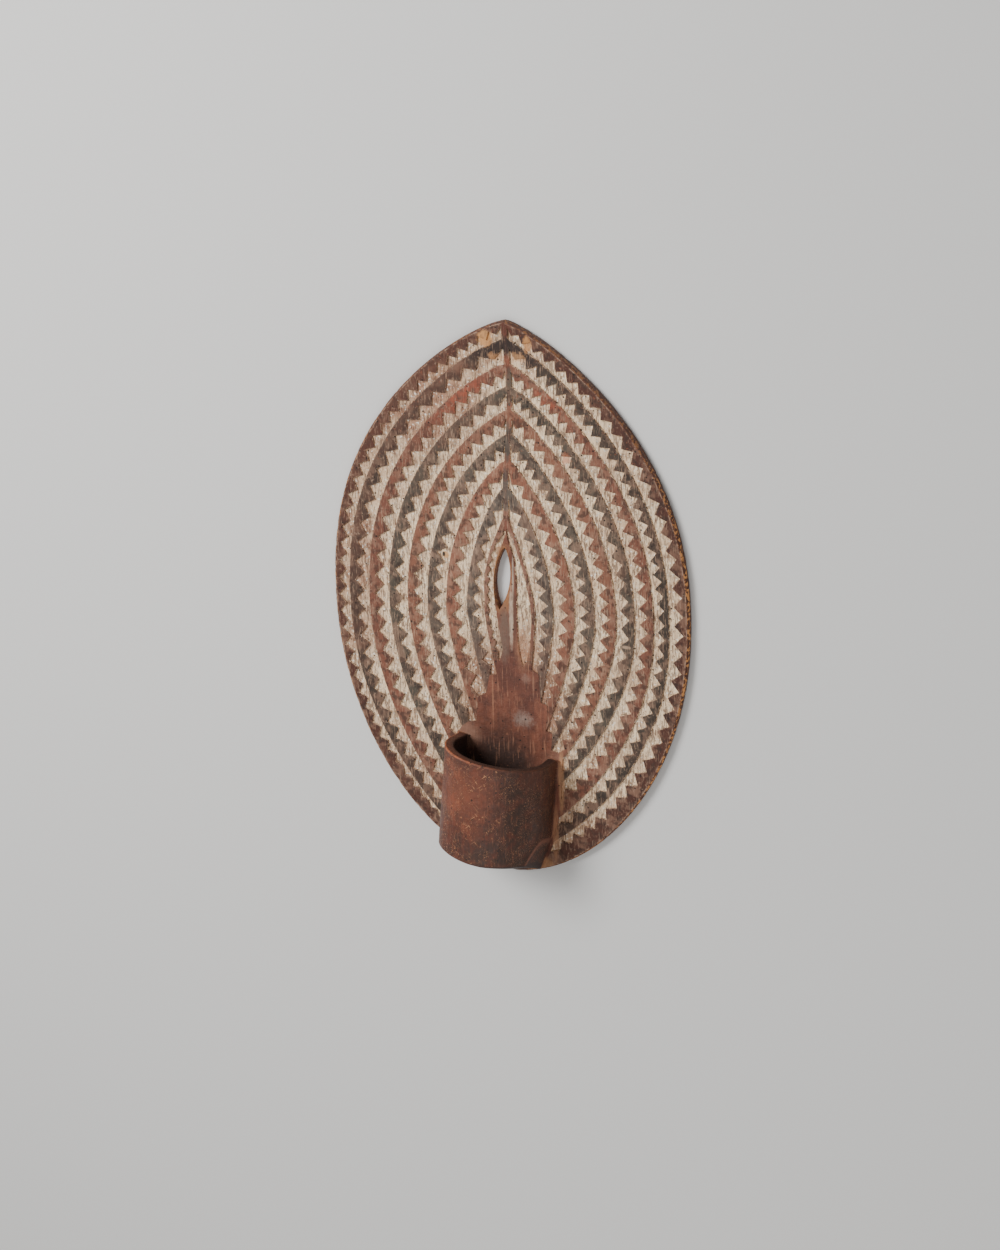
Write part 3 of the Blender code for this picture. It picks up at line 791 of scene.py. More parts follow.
# %% Centre the heights and merge the board
board_points, board_marks, board_triangles = surface.merged()
board_points[:, 1] -= plate_length / 2
print("board:", len(board_points), "points,", len(board_triangles), "triangles")

# %% [markdown]
# ## Arm ring
# The ring is a bent bar: an arch in section, carried along the shield, leaning a little, cut by a
# tilted plane at its upper end and by the slope of the foot at its lower end. Two parameters are
# enough: one round the arch, and one round the bar, along its outside, over the rounded end, back
# along the bore and over the other end.

# %% Bent bar of the arm ring
arch_steps = 144
bar_steps = 40
end_steps = 5
cap_steps = 7
ring_edge = 0.0015
bar_length = 0.11
axis_z = plate_thickness + bore_height


def arch(share, radius):
    """Section points (across, up) by share of the run: a leg, a half circle and the other leg."""
    leg = bore_height + ring_root_depth
    total = 2 * leg + np.pi * radius
    run = share * total
    turn = np.clip((run - leg) / radius, 0, np.pi)
    below = np.maximum(leg - run, 0) + np.maximum(run - leg - np.pi * radius, 0)
    return np.stack([-radius * np.cos(turn), axis_z + radius * np.sin(turn) - below], -1)


def bore(share):
    """Section points of the bore: one arc of a circle from the plate's face round to the face."""
    sink = math.asin((bore_height + ring_root_depth) / bore_radius)
    turn = -sink + share * (np.pi + 2 * sink)
    return np.stack([-bore_radius * np.cos(turn), axis_z + bore_radius * np.sin(turn)], -1)


share = np.linspace(0, 1, arch_steps)
outside, inside = arch(share, outer_radius), bore(share)
flare = np.clip(1 - (outside[:, 1] - plate_thickness) / ring_foot_height, 0, 1) ** 2 * ring_foot_reach
outside[:, 0] += np.where(share < 0.5, -flare, flare)
print("arch points:", arch_steps, "wall in mm:",
      round(1000 * float(outside[arch_steps // 2, 1] - inside[arch_steps // 2, 1]), 1))

# %% Round the bar, station by station, in one array
lean_rounds, low_guess, widest_share = 5, 0.02, 0.999


def foot_of_rim(x):
    """Height of the rim's lower half at a distance from the middle, the rim law solved for height."""
    share_x = np.clip(np.abs(x) / plate_half_width, 0, widest_share)
    return widest_height * (1 - np.sqrt(1 - share_x ** (1 / foot_fullness)))


def end_heights(across, z):
    """Heights of the ring's two end surfaces at a section point that leans along the shield."""
    low = np.full(across.shape, low_guess)
    top = np.full(across.shape, ring_top)
    for _ in range(lean_rounds):
        x_low = across + ring_centre + ring_lean * (low - ring_top)
        low = foot_of_rim(x_low) + ring_undercut * (z - plate_thickness)
        x_top = across + ring_centre + ring_lean * (top - ring_top)
        top = ring_top - ring_top_skew * x_top + ring_top_lean * (z - plate_thickness)
    return low, top


def bar_point(depth, share_along, from_end, which_end):
    """Points of the bar: the section between outside and bore by depth, along between the two ends."""
    wall = inside - outside
    thick = np.linalg.norm(wall, axis=1)
    section = outside[:, None] + wall[:, None] * (depth[None] / thick[:, None])[..., None]
    across, z = section[..., 0], section[..., 1]
    low, top = end_heights(across, z)
    h = low + (top - low) * share_along[None]
    h = np.where(which_end[None] == 1, top - from_end[None], h)
    h = np.where(which_end[None] == -1, low + from_end[None], h)
    x = across + ring_centre + ring_lean * (h - ring_top)
    return np.dstack([x, h - plate_length / 2, z])


def stretch(depth, share_along, from_end, which_end):
    """Rows of the loop's table from four columns, any of which may be a single number."""
    return np.stack(np.broadcast_arrays(depth, share_along, from_end, which_end), 1)


def rounded(turns, in_bore, which_end):
    """Rounded edge of an end: a quarter circle from the outside or the bore to the end surface."""
    depth = ring_edge * (1 - np.cos(turns))
    return stretch(ring_wall - depth if in_bore else depth, 0, ring_edge * (1 - np.sin(turns)), which_end)


side_shares = np.linspace(ring_edge / bar_length, 1 - ring_edge / bar_length, bar_steps)
cap_depths = np.linspace(ring_edge, ring_wall - ring_edge, cap_steps)[1:-1]
turns = np.linspace(0, np.pi / 2, end_steps + 1)
loop = np.vstack([
    stretch(0, side_shares, 0, 0),
    rounded(turns, False, 1), stretch(cap_depths, 0, 0, 1), rounded(turns[::-1], True, 1),
    stretch(ring_wall, side_shares[::-1], 0, 0),
    rounded(turns, True, -1), stretch(cap_depths[::-1], 0, 0, -1), rounded(turns[::-1], False, -1)])
ring_points = bar_point(*loop.T)
print("ring grid:", ring_points.shape[:2])

# %% [markdown]
# The outside of the ring was dressed with an adze and never sanded, so it waves a little, and one
# flat cut runs down its right flank at the foot. Points beyond the plane of that cut are moved back
# on to it, with a soft knee instead of a sharp crease.

# %% Tool waves and the adze cut
broad_wave, broad_size = 0.0007, (0.020, 0.030, 0.020)
fine_wave, fine_size = 0.0003, (0.007, 0.009, 0.007)
wave_skin = 0.004
knee, knee_reach = 0.0004, 0.004
on_outside = np.clip(1 - loop[:, 0] / wave_skin, 0, 1)[:, None] * np.array([1.0, 0, 1.0])
from_axis = ring_points - np.array([0, 0, axis_z])
from_axis[..., 1] = 0
from_axis /= np.linalg.norm(from_axis, axis=2)[..., None]
ring_axes = np.moveaxis(ring_points, -1, 0)
waves = (0.5 + 0.5 * lumps(*ring_axes, broad_size, broad_seed)) * broad_wave
waves += (0.5 + 0.5 * lumps(*ring_axes, fine_size, fine_seed)) * fine_wave
ring_points = ring_points - from_axis * waves[..., None] * on_outside
beyond = (ring_points + (0, plate_length / 2, 0)) @ facet_normal - facet_distance
pushed = (beyond + np.sqrt(beyond ** 2 + 4 * knee ** 2)) / 2 - knee ** 2 / knee_reach
ring_points = ring_points - facet_normal * np.maximum(pushed, 0)[..., None]
print("deepest adze cut:", round(1000 * float(beyond.max()), 1), "mm")

# %% Close the ring and give it its marks
ring_surface = Surface()
bore_mark = np.array([0, 0, 0, 1.0])
end_wear = 0.8
at_end = (loop[:, 3] != 0)[:, None]
ring_marks = bare + at_end * worn * end_wear + (loop[:, 0] / ring_wall)[:, None] ** 2 * bore_mark
ring_numbers = ring_surface.add(ring_points, ring_marks[None])
ring_surface.weave(np.hstack([ring_numbers, ring_numbers[:, :1]]))
for row in (0, -1):
    hub = ring_surface.add(ring_points[row].mean(0)[None], bare)
    around = ring_numbers[row]
    ring_surface.triangles.append(np.stack([around, np.roll(around, -1), np.full(len(around), hub[0])], 1))
arm_ring_points, arm_ring_marks, arm_ring_triangles = ring_surface.merged()
print("ring:", len(arm_ring_points), "points,", len(arm_ring_triangles), "triangles")

# %% [markdown]
# ## Meshes
# The arrays go into Blender in a few calls. The marks are stored on the face corners, because those
# are carried over a boolean cut, and the two closed shells are then joined into the one solid that
# the carver left.

# %% Turn arrays into a mesh
def as_mesh(name, points, marks, triangles):
    """A mesh from arrays, facing outwards, with the four marks on its face corners."""
    mesh = bpy.data.meshes.new(name)
    mesh.vertices.add(len(points))
    mesh.vertices.foreach_set("co", points.astype(np.float32).ravel())
    mesh.loops.add(triangles.size)
    mesh.loops.foreach_set("vertex_index", triangles.astype(np.int32).ravel())
    mesh.polygons.add(len(triangles))
    mesh.polygons.foreach_set("loop_start", np.arange(0, triangles.size, 3, dtype=np.int32))
    mesh.update(calc_edges=True)
    for column, mark in enumerate(("ground", "row", "edge", "inside")):
        attribute = mesh.attributes.new(mark, "FLOAT", "CORNER")
        attribute.data.foreach_set("value", marks[triangles.ravel(), column].astype(np.float32))
    work = bmesh.new()
    work.from_mesh(mesh)
    bmesh.ops.recalc_face_normals(work, faces=work.faces)
    open_edges = sum(1 for one in work.edges if len(one.link_faces) != 2)
    work.to_mesh(mesh)
    work.free()
    print(name, "edges that don't join two faces:", open_edges, mesh.validate())
    thing = bpy.data.objects.new(name, mesh)
    bpy.context.scene.collection.objects.link(thing)
    return thing


board = as_mesh("carved_shield", board_points, board_marks, board_triangles)
arm_ring = as_mesh("arm_ring", arm_ring_points, arm_ring_marks, arm_ring_triangles)

# %% Join the ring to the board
sharp_from = 38
join = board.modifiers.new("one_log", "BOOLEAN")
join.operation = "UNION"
join.solver = "EXACT"
join.object = arm_ring
joined = bpy.data.meshes.new_from_object(board.evaluated_get(bpy.context.evaluated_depsgraph_get()))
board.modifiers.clear()
board.data = joined
bpy.data.objects.remove(arm_ring, do_unlink=True)
board.data.shade_smooth()
board.data.set_sharp_from_angle(angle=math.radians(sharp_from))
board.data.calc_loop_triangles()
print("shield:", len(board.data.loop_triangles), "triangles")

# %% [markdown]
# ## Finish: shared effects
# The finish is painted wood with a long life: pigment in the cuts, grain that shows through it,
# pin-holes of insects, edges rubbed back, soot and hand polish. Each of these is a node group with
# named inputs, so that the same effect can be placed again with other values. One helper adds a
# node, sets it and wires it, which keeps each effect to a few lines.

# %% Helpers for nodes
def fill(tree, node, inputs):
    """Fills a node's inputs with values, or wires them to other nodes' outputs."""
    for name, value in inputs.items():
        if isinstance(value, bpy.types.NodeSocket):
            tree.links.new(value, node.inputs[name])
        else:
            node.inputs[name].default_value = value
    return node


def put(tree, kind, inputs=None, **settings):
    """Adds a shader node with its settings, and fills its inputs."""
    node = tree.nodes.new("ShaderNode" + kind)
    for name, value in settings.items():
        setattr(node, name, value)
    return fill(tree, node, inputs or {})


def sum_up(tree, operation, first, second=0.0, third=0.0):
    """One step of arithmetic."""
    return put(tree, "Math", {0: first, 1: second, 2: third}, operation=operation).outputs[0]


def ramp(tree, value, low, high):
    """A soft step from 0 at low to 1 at high."""
    node = put(tree, "MapRange", {"Value": value, "From Min": low, "From Max": high},
               interpolation_type="SMOOTHSTEP")
    return node.outputs["Result"]


def blend(tree, factor, first, second):
    """First colour where the factor is 0, second where it is 1."""
    node = put(tree, "Mix", {"Factor": factor}, data_type="RGBA")
    return fill(tree, node, {"A": first, "B": second}).outputs["Result"]


def effect(name, inputs, outputs):
    """A node group with named inputs and outputs, and its own input and output nodes."""
    tree = bpy.data.node_groups.new(name, "ShaderNodeTree")
    for label, kind, value in inputs:
        socket = tree.interface.new_socket(label, in_out="INPUT", socket_type="NodeSocket" + kind)
        if kind == "Float":
            socket.default_value = value
    for label, kind in outputs:
        tree.interface.new_socket(label, in_out="OUTPUT", socket_type="NodeSocket" + kind)
    return tree, tree.nodes.new("NodeGroupInput").outputs, tree.nodes.new("NodeGroupOutput").inputs


def use(tree, group, inputs):
    """Places an effect in a material and returns its output."""
    return fill(tree, put(tree, "Group", node_tree=group), inputs).outputs[0]


def pigment(red, green, blue):
    """Colour in the renderer's linear scale from everyday values of 0 to 255."""
    value = np.array([red, green, blue]) / 255
    linear = np.where(value <= 0.04045, value / 12.92, ((value + 0.055) / 1.055) ** 2.4)
    return (*linear.tolist(), 1.0)


print("chalk in linear values:", [round(v, 3) for v in pigment(205, 186, 165)])

# %% [markdown]
# Grain runs along the shield, so its noise is squeezed across and stretched along. The pin-holes
# are cells of a Voronoi pattern, each with its own size. Blotches are one soft noise with a
# threshold. A place mask is an oval with a ragged edge, for marks that sit at one spot only.

# %% Effects: grain, blotches, pin-holes and a mask for one place
grain, ins, outs = effect("wood_grain", [("Position", "Vector", None), ("Width", "Float", 0.001),
                                         ("Length", "Float", 0.012), ("Low", "Float", 0.5),
                                         ("High", "Float", 0.7)], [("Streaks", "Float")])
across_grain = sum_up(grain, "DIVIDE", 1.0, ins["Width"])
along_grain = sum_up(grain, "DIVIDE", 1.0, ins["Length"])
squeeze = put(grain, "CombineXYZ", {0: across_grain, 1: along_grain, 2: across_grain})
stretched = put(grain, "VectorMath", {0: ins["Position"], 1: squeeze.outputs[0]}, operation="MULTIPLY")
fibres = put(grain, "TexNoise", {"Vector": stretched.outputs[0], "Scale": 1.0, "Detail": 2.5,
                                 "Roughness": 0.6, "Distortion": 0.35})
grain.links.new(ramp(grain, fibres.outputs[0], ins["Low"], ins["High"]), outs["Streaks"])

blotch, ins, outs = effect("blotches", [("Position", "Vector", None), ("Size", "Float", 0.01),
                                        ("Seed", "Float", 0.0), ("Low", "Float", 0.4),
                                        ("High", "Float", 0.6)], [("Mask", "Float")])
per_metre = sum_up(blotch, "DIVIDE", 1.0, ins["Size"])
clouds = put(blotch, "TexNoise", {"Vector": ins["Position"], "W": ins["Seed"], "Scale": per_metre,
                                  "Detail": 3.0, "Roughness": 0.55}, noise_dimensions="4D")
blotch.links.new(ramp(blotch, clouds.outputs[0], ins["Low"], ins["High"]), outs["Mask"])

holes, ins, outs = effect("pin_holes", [("Position", "Vector", None), ("Spacing", "Float", 0.01),
                                        ("Size", "Float", 0.08)], [("Holes", "Float")])
per_metre = sum_up(holes, "DIVIDE", 1.0, ins["Spacing"])
cells = put(holes, "TexVoronoi", {"Vector": ins["Position"], "Scale": per_metre})
own_size = put(holes, "SeparateColor", {0: cells.outputs["Color"]})
widest = sum_up(holes, "MULTIPLY", own_size.outputs[0], ins["Size"])
inside_hole = sum_up(holes, "SUBTRACT", widest, cells.outputs["Distance"])
holes.links.new(ramp(holes, inside_hole, 0.0, 0.02), outs["Holes"])

spot, ins, outs = effect("place_mask", [("Position", "Vector", None), ("Across", "Float", 0.0),
                                        ("From Foot", "Float", 0.0), ("Half Width", "Float", 0.01),
                                        ("Half Length", "Float", 0.01), ("Ragged", "Float", 0.3),
                                        ("Soft", "Float", 0.3)], [("Mask", "Float")])
parts = put(spot, "SeparateXYZ", {0: ins["Position"]}).outputs
from_middle = sum_up(spot, "DIVIDE", sum_up(spot, "SUBTRACT", parts[0], ins["Across"]), ins["Half Width"])
height_here = sum_up(spot, "ADD", parts[1], plate_length / 2)
from_centre = sum_up(spot, "DIVIDE", sum_up(spot, "SUBTRACT", height_here, ins["From Foot"]),
                     ins["Half Length"])
reach = sum_up(spot, "SQRT", sum_up(spot, "ADD", sum_up(spot, "MULTIPLY", from_middle, from_middle),
                                    sum_up(spot, "MULTIPLY", from_centre, from_centre)))
ragged_noise = put(spot, "TexNoise", {"Vector": ins["Position"], "Scale": 260.0, "Detail": 5.0,
                                       "Roughness": 0.7})
ragged = sum_up(spot, "MULTIPLY", sum_up(spot, "SUBTRACT", ragged_noise.outputs[0], 0.5), ins["Ragged"])
ragged_reach = sum_up(spot, "ADD", reach, sum_up(spot, "MULTIPLY", ragged, 2.0))
outer_reach = sum_up(spot, "ADD", 1.0, ins["Soft"])
inner_reach = sum_up(spot, "SUBTRACT", 1.0, ins["Soft"])
spot.links.new(ramp(spot, ragged_reach, outer_reach, inner_reach), outs["Mask"])

print("effects:", [group.name for group in bpy.data.node_groups])

# %% [markdown]
# ## Finish: painted wood
# On the real shield the bands were painted before the ground was cut away and whitened, so colour
# follows the carving exactly, apart from small slips of the hand. The marks on the face corners say
# how far a point is from the nearest cut, and in which row it lies. Everything else is thin coats
# over one another, as on the real wood, so the material is written as lists of coats: what each
# one is, where it lies, how strong it is, and its colour.

# %% Start the material and read the marks
paint = bpy.data.materials.new("painted_wood")
paint.use_nodes = True
tree = paint.node_tree
shader = tree.nodes["Principled BSDF"]
place = put(tree, "TexCoord").outputs["Object"]
place_x, place_y, place_z = put(tree, "SeparateXYZ", {0: place}).outputs
ground, row, edge, inside = (put(tree, "Attribute", attribute_name=mark).outputs["Fac"]
                             for mark in ("ground", "row", "edge", "inside"))


def times(first, second):
    """Product of two masks or strengths."""
    return sum_up(tree, "MULTIPLY", first, second)


def but(mask):
    """Everything outside a mask."""
    return sum_up(tree, "SUBTRACT", 1.0, mask)


def spread_over(mask, span, lowest):
    """A mask brought to another range: lowest where it is 0, lowest plus the span where it is 1."""
    return sum_up(tree, "MULTIPLY_ADD", mask, span, lowest)


def fade(value, low, high):
    """A soft step in the material's own tree."""
    return ramp(tree, value, low, high)


def cloud(size, seed, low, high):
    """Blotches of a size over the whole shield."""
    return use(tree, blotch, {"Position": place, "Size": size, "Seed": seed, "Low": low, "High": high})


def fibre(width, length, low, high, way=place):
    """Grain streaks of a width and length over the whole shield, along it or along a turned way."""
    return use(tree, grain, {"Position": way, "Width": width, "Length": length, "Low": low, "High": high})


def spot_at(across, from_foot, half_width, half_length, ragged=0.3, soft=0.4):
    """A ragged oval at one place, measured from the middle and from the foot."""
    return use(tree, spot, {"Position": place, "Across": across, "From Foot": from_foot, "Ragged": ragged,
                            "Half Width": half_width, "Half Length": half_length, "Soft": soft})


def above_plane(direction, distance):
    """How far a point stands above a plane, square to a direction and at a distance from the middle."""
    along = put(tree, "VectorMath", {0: place, 1: direction}, operation="DOT_PRODUCT").outputs["Value"]
    return sum_up(tree, "SUBTRACT", along, distance)


def lay(coat, coats):
    """Thin coats over one another, each as thick as its mask times its strength."""
    for _, mask, strength, colour in coats:
        coat = blend(tree, times(mask, strength), coat, pigment(*colour))
    print("laid:", ", ".join(one[0] for one in coats))
    return coat


# %% Masks: plain wood, ring, spine, and where the white ground begins
on_plain = fade(row, 0.6, 0.4)
on_ring = fade(place_z, plate_thickness + 0.001, plate_thickness + 0.004)
off_ring = but(on_ring)
on_front = fade(place_z, 0.4 * plate_thickness, 0.7 * plate_thickness)
slip_fine, slip_wide = (put(tree, "TexNoise", {"Vector": place, "Scale": scale, "Detail": 2.0}).outputs[0]
                        for scale in (700.0, 240.0))
slip = sum_up(tree, "ADD", times(sum_up(tree, "SUBTRACT", slip_fine, 0.5), 2.2),
              times(sum_up(tree, "SUBTRACT", slip_wide, 0.5), 2.0))
is_white = fade(sum_up(tree, "ADD", ground, slip), -0.10, 0.35)
spine_mask = times(fade(spread_over(slip, 0.12, inside), 0.25, 0.60), off_ring)


def mark_at(*oval):
    """A ragged oval on the carved face alone, so that it doesn't show on the outer face."""
    return times(spot_at(*oval), on_front)


print("nodes so far:", len(tree.nodes))

# %% [markdown]
# Hands and smoke darkened the shield unevenly: most of all around the plain ground, where the rows
# fade into the wood, then at the point and along the left side. The same stain map works on the
# white and on the bands, so that both darken together.

# %% Stain map and pale middle
stain_places = [(-0.110, 0.520, 0.085, 0.070, 0.85), (0.005, 0.575, 0.060, 0.032, 0.22),
                (-0.185, 0.370, 0.038, 0.180, 0.55), (0.008, 0.180, 0.062, 0.064, 0.95),
                (-0.026, 0.222, 0.022, 0.042, 0.45), (0.062, 0.075, 0.014, 0.065, 0.35),
                (0.095, 0.050, 0.060, 0.030, 0.35), (0.026, 0.255, 0.020, 0.030, 0.50),
                (-0.120, 0.080, 0.050, 0.050, 0.35)]
stain = times(cloud(0.045, 1.0, 0.40, 0.70), 0.40)
for *oval, strength in stain_places:
    stain = sum_up(tree, "MULTIPLY_ADD", mark_at(*oval, 0.35, 0.55), strength, stain)
patchy = spread_over(cloud(0.010, 2.0, 0.30, 0.70), 0.80, 0.55)
stain = sum_up(tree, "MINIMUM", times(stain, patchy), 1.0)
pale_middle = spot_at(0.010, 0.300, 0.125, 0.200, 0.20, 0.70)
print("stain places:", len(stain_places))

# %% White ground: chalk, stain, grain showing through, worn patches
fine_streaks = fibre(0.0015, 0.0090, 0.49, 0.60)
long_streaks = fibre(0.0026, 0.030, 0.50, 0.68)
thin_coat = cloud(0.013, 3.0, 0.36, 0.62)
white_coat = lay(blend(tree, stain, pigment(245, 216, 178), pigment(168, 126, 100)), [
    ("yellowed patches", cloud(0.020, 4.0, 0.47, 0.62), 0.50, (208, 170, 134)),
    ("long grain", long_streaks, 0.45, (160, 118, 90)),
    ("chalk left thick", cloud(0.0028, 7.0, 0.56, 0.66), 0.80, (255, 250, 238)),
    ("fine grain, most where the coat is thin", fine_streaks, spread_over(thin_coat, 0.35, 0.46),
     (104, 74, 57)),
    ("worn patches", cloud(0.0048, 5.0, 0.605, 0.68), 0.65, (124, 86, 66)),
    ("dark specks", cloud(0.0020, 6.0, 0.61, 0.67), 0.80, (84, 56, 43))])

# %% Bands: one pigment for each row, faded, streaked and flecked
band_pigments = [pigment(104, 62, 46), pigment(70, 36, 26), pigment(53, 46, 38), pigment(116, 67, 50),
                 pigment(62, 58, 49), pigment(124, 74, 54), pigment(66, 61, 53), pigment(128, 72, 52),
                 pigment(72, 68, 62), pigment(116, 70, 54)]
row_share = sum_up(tree, "DIVIDE", sum_up(tree, "ADD", row, 0.5), len(band_pigments))
band_ramp = put(tree, "ValToRGB", {"Fac": row_share})
stops = band_ramp.color_ramp.elements
band_ramp.color_ramp.interpolation = "CONSTANT"
stops[0].color = band_pigments[0]
stops.remove(stops[1])
for number, colour in enumerate(band_pigments[1:], 1):
    stops.new(number / len(band_pigments)).color = colour


def in_row(number):
    """The band of one row, a little soft at its ends."""
    return times(fade(row, number - 0.5, number - 0.4), fade(row, number + 0.5, number + 0.4))


high_up = fade(place_y, 0.06, 0.20)
inner_rows = fade(row, 1.4, 1.6)
bright_places = sum_up(tree, "MAXIMUM", spot_at(-0.066, 0.522, 0.044, 0.028, 0.5, 0.5),
                       spot_at(0.052, 0.524, 0.026, 0.018, 0.5, 0.5))
top_soot = spot_at(0.002, 0.570, 0.044, 0.017, 0.5, 0.4)
rubbed_edge = times(fade(edge, 0.3, 1.0), cloud(0.0040, 13.0, 0.42, 0.62))
band_coat = lay(band_ramp.outputs[0], [
    ("faded patches", cloud(0.014, 8.0, 0.47, 0.60), spread_over(high_up, -0.18, 0.42), (160, 122, 99)),
    ("pale middle", pale_middle, 0.13, (184, 150, 124)),
    ("dark patches", cloud(0.0090, 9.0, 0.48, 0.60), 0.66, (46, 33, 27)),
    ("stain", stain, 0.50, (98, 60, 45)),
    ("bright red of the third row", times(in_row(3), bright_places),
     times(cloud(0.009, 10.0, 0.38, 0.62), 0.70), (160, 80, 55)),
    ("orange specks", times(cloud(0.0026, 11.0, 0.60, 0.68), high_up), 0.34, (168, 96, 64)),
    ("soot of the second row", times(in_row(2), top_soot), 0.80, (40, 28, 24)),
    ("dark fibres", fibre(0.0015, 0.012, 0.50, 0.68), 0.36, (56, 38, 30)),
    ("light fibres", fibre(0.0013, 0.010, 0.55, 0.66), spread_over(inner_rows, 0.12, 0.26), (190, 154, 126)),
    ("chalk flecks", times(cloud(0.0032, 12.0, 0.58, 0.66), thin_coat), 0.38, (182, 150, 126)),
    ("rubbed edges", rubbed_edge, 0.58, (190, 156, 130)),
    ("red of the spine", spine_mask, 0.12, (116, 66, 47))])

# %% Plain wood: patina, painted shade under the ring's arch, light and dark fibres
patina = lay(blend(tree, cloud(0.024, 14.0, 0.34, 0.66), pigment(92, 50, 36), pigment(124, 72, 52)), [
    ("dark patches", cloud(0.009, 15.0, 0.46, 0.66), 0.40, (66, 39, 30)),
    # painted shade: the plate under the ring's arch is darkened where the ring shades it
    ("painted shade under the ring", mark_at(-0.012, 0.070, 0.052, 0.088, 0.15, 0.30), 0.88, (42, 28, 22)),
    ("light fibres", fibre(0.0016, 0.024, 0.57, 0.70), 0.48, (182, 128, 98)),
    ("dark fibres", fibre(0.0030, 0.040, 0.50, 0.70), 0.38, (60, 36, 28)),
    ("light flecks", cloud(0.0045, 23.0, 0.60, 0.70), 0.40, (150, 98, 72)),
    # painted highlight: a light tan patch where the ring's left root meets the plate
    ("painted highlight left of the ring", mark_at(-0.056, 0.150, 0.020, 0.015, 0.3, 0.5), 0.65, (152, 114, 94)),
    ("rubbed right of the ring", mark_at(0.056, 0.130, 0.016, 0.016, 0.3, 0.5), 0.50, (142, 102, 82))])
coat = blend(tree, is_white, blend(tree, on_plain, band_coat, patina), white_coat)
print("nodes so far:", len(tree.nodes))

# %% [markdown]
# Some marks belong to one spot of the real shield: bare tan wood at the point, stains of orange
# clay, a grey bloom on the plain ground, the brown dip below the slit. A table holds them, and a
# loop lays each one over the coat below it, a little weaker on the streaks of the grain.

# %% Marks at one place
local_marks = [
    ("bare wood left of the point", (-0.0205, 0.5805, 0.0078, 0.0088, 0.70, 0.22), 0.95, (198, 142, 88)),
    ("bare wood right of the point", (0.0258, 0.5780, 0.0045, 0.0088, 0.70, 0.22), 0.90, (192, 134, 82)),
    ("dark red point", (0.0030, 0.5915, 0.0056, 0.0075, 0.90, 0.50), 0.75, (88, 42, 29)),
    ("dark apex of the second row", (0.0050, 0.5740, 0.0130, 0.0046, 0.60, 0.40), 0.80, (46, 32, 27)),
    ("red spine of the third row", (0.0038, 0.5600, 0.0040, 0.0058, 0.90, 0.60), 0.50, (140, 74, 48)),
    ("dark spine of the fourth row", (0.0062, 0.5415, 0.0030, 0.0100, 0.60, 0.35), 0.78, (84, 74, 62)),
    ("dark spine of the sixth row", (0.0030, 0.4905, 0.0024, 0.0070, 0.60, 0.35), 0.60, (84, 74, 64)),
    ("dark spine of the seventh row", (0.0026, 0.4670, 0.0028, 0.0125, 0.60, 0.35), 0.78, (78, 68, 60)),
    ("dark spine of the eighth row", (0.0000, 0.4380, 0.0026, 0.0100, 0.60, 0.35), 0.65, (76, 68, 62)),
    ("orange fleck on the right", (0.0660, 0.4640, 0.0040, 0.0060, 1.30, 0.50), 0.60, (196, 112, 76)),
    ("smoke on the left of the point", (-0.0560, 0.5480, 0.0160, 0.0060, 1.00, 0.60), 0.50, (132, 92, 72)),
    ("clay stain left", (-0.0090, 0.5625, 0.0070, 0.0036, 1.30, 0.50), 0.60, (202, 142, 92)),
    ("clay stain right", (0.0150, 0.5640, 0.0070, 0.0048, 1.30, 0.50), 0.60, (206, 150, 100)),
    ("golden border of the slit", (-0.0052, 0.3280, 0.0108, 0.0375, 0.60, 0.22), 0.88, (150, 99, 60)),
    ("pale strip beside the slit", (0.0068, 0.3270, 0.0011, 0.0270, 0.50, 0.40), 0.70, (184, 164, 144)),
    ("brown dip below the slit", (-0.004, 0.268, 0.0062, 0.030, 0.25, 0.35), 0.85, (108, 84, 70)),
    ("brown strip beside the slit", (0.0078, 0.284, 0.0020, 0.034, 0.20, 0.35), 0.85, (96, 62, 46)),
    ("pale strip below the slit", (0.0042, 0.287, 0.0022, 0.030, 0.40, 0.45), 0.80, (196, 172, 148)),
    ("tan foot of the right field", (0.017, 0.254, 0.0075, 0.020, 0.40, 0.50), 0.60, (170, 118, 86)),
    ("grey bloom", (0.0165, 0.1755, 0.0098, 0.0076, 1.20, 0.60), 0.58, (152, 132, 120)),
    ("small grey bloom", (0.0195, 0.2215, 0.0048, 0.0045, 1.30, 0.60), 0.32, (156, 128, 112)),
    ("pale streak left", (-0.018, 0.192, 0.0010, 0.028, 0.30, 0.60), 0.40, (184, 128, 96)),
    ("pale streak right", (0.028, 0.217, 0.0010, 0.014, 0.30, 0.60), 0.40, (176, 128, 100)),
    ("tan root of the ring", (0.0585, 0.112, 0.0030, 0.034, 0.30, 0.40), 0.80, (186, 136, 98)),
    ("tan root lower down", (0.0515, 0.052, 0.0034, 0.030, 0.30, 0.40), 0.70, (172, 122, 88)),
    ("tan foot", (0.034, 0.012, 0.016, 0.0100, 0.40, 0.40), 0.75, (172, 124, 86)),
    ("light wood round the knot", (-0.0690, 0.3455, 0.0034, 0.0034, 0.80, 0.40), 0.85, (204, 148, 92)),
    ("knot", (-0.0712, 0.3458, 0.0016, 0.0026, 0.40, 0.30), 0.97, (34, 24, 19)),
    ("scar", (0.131, 0.272, 0.0050, 0.0016, 0.60, 0.40), 0.85, (176, 146, 120)),
]
off_streaks = times(spread_over(fine_streaks, -0.35, 1.0), on_front)
coat = lay(coat, [(label, times(spot_at(*oval), off_streaks), strength, colour)
                  for label, oval, strength, colour in local_marks])
print(len(local_marks), "marks at one place")
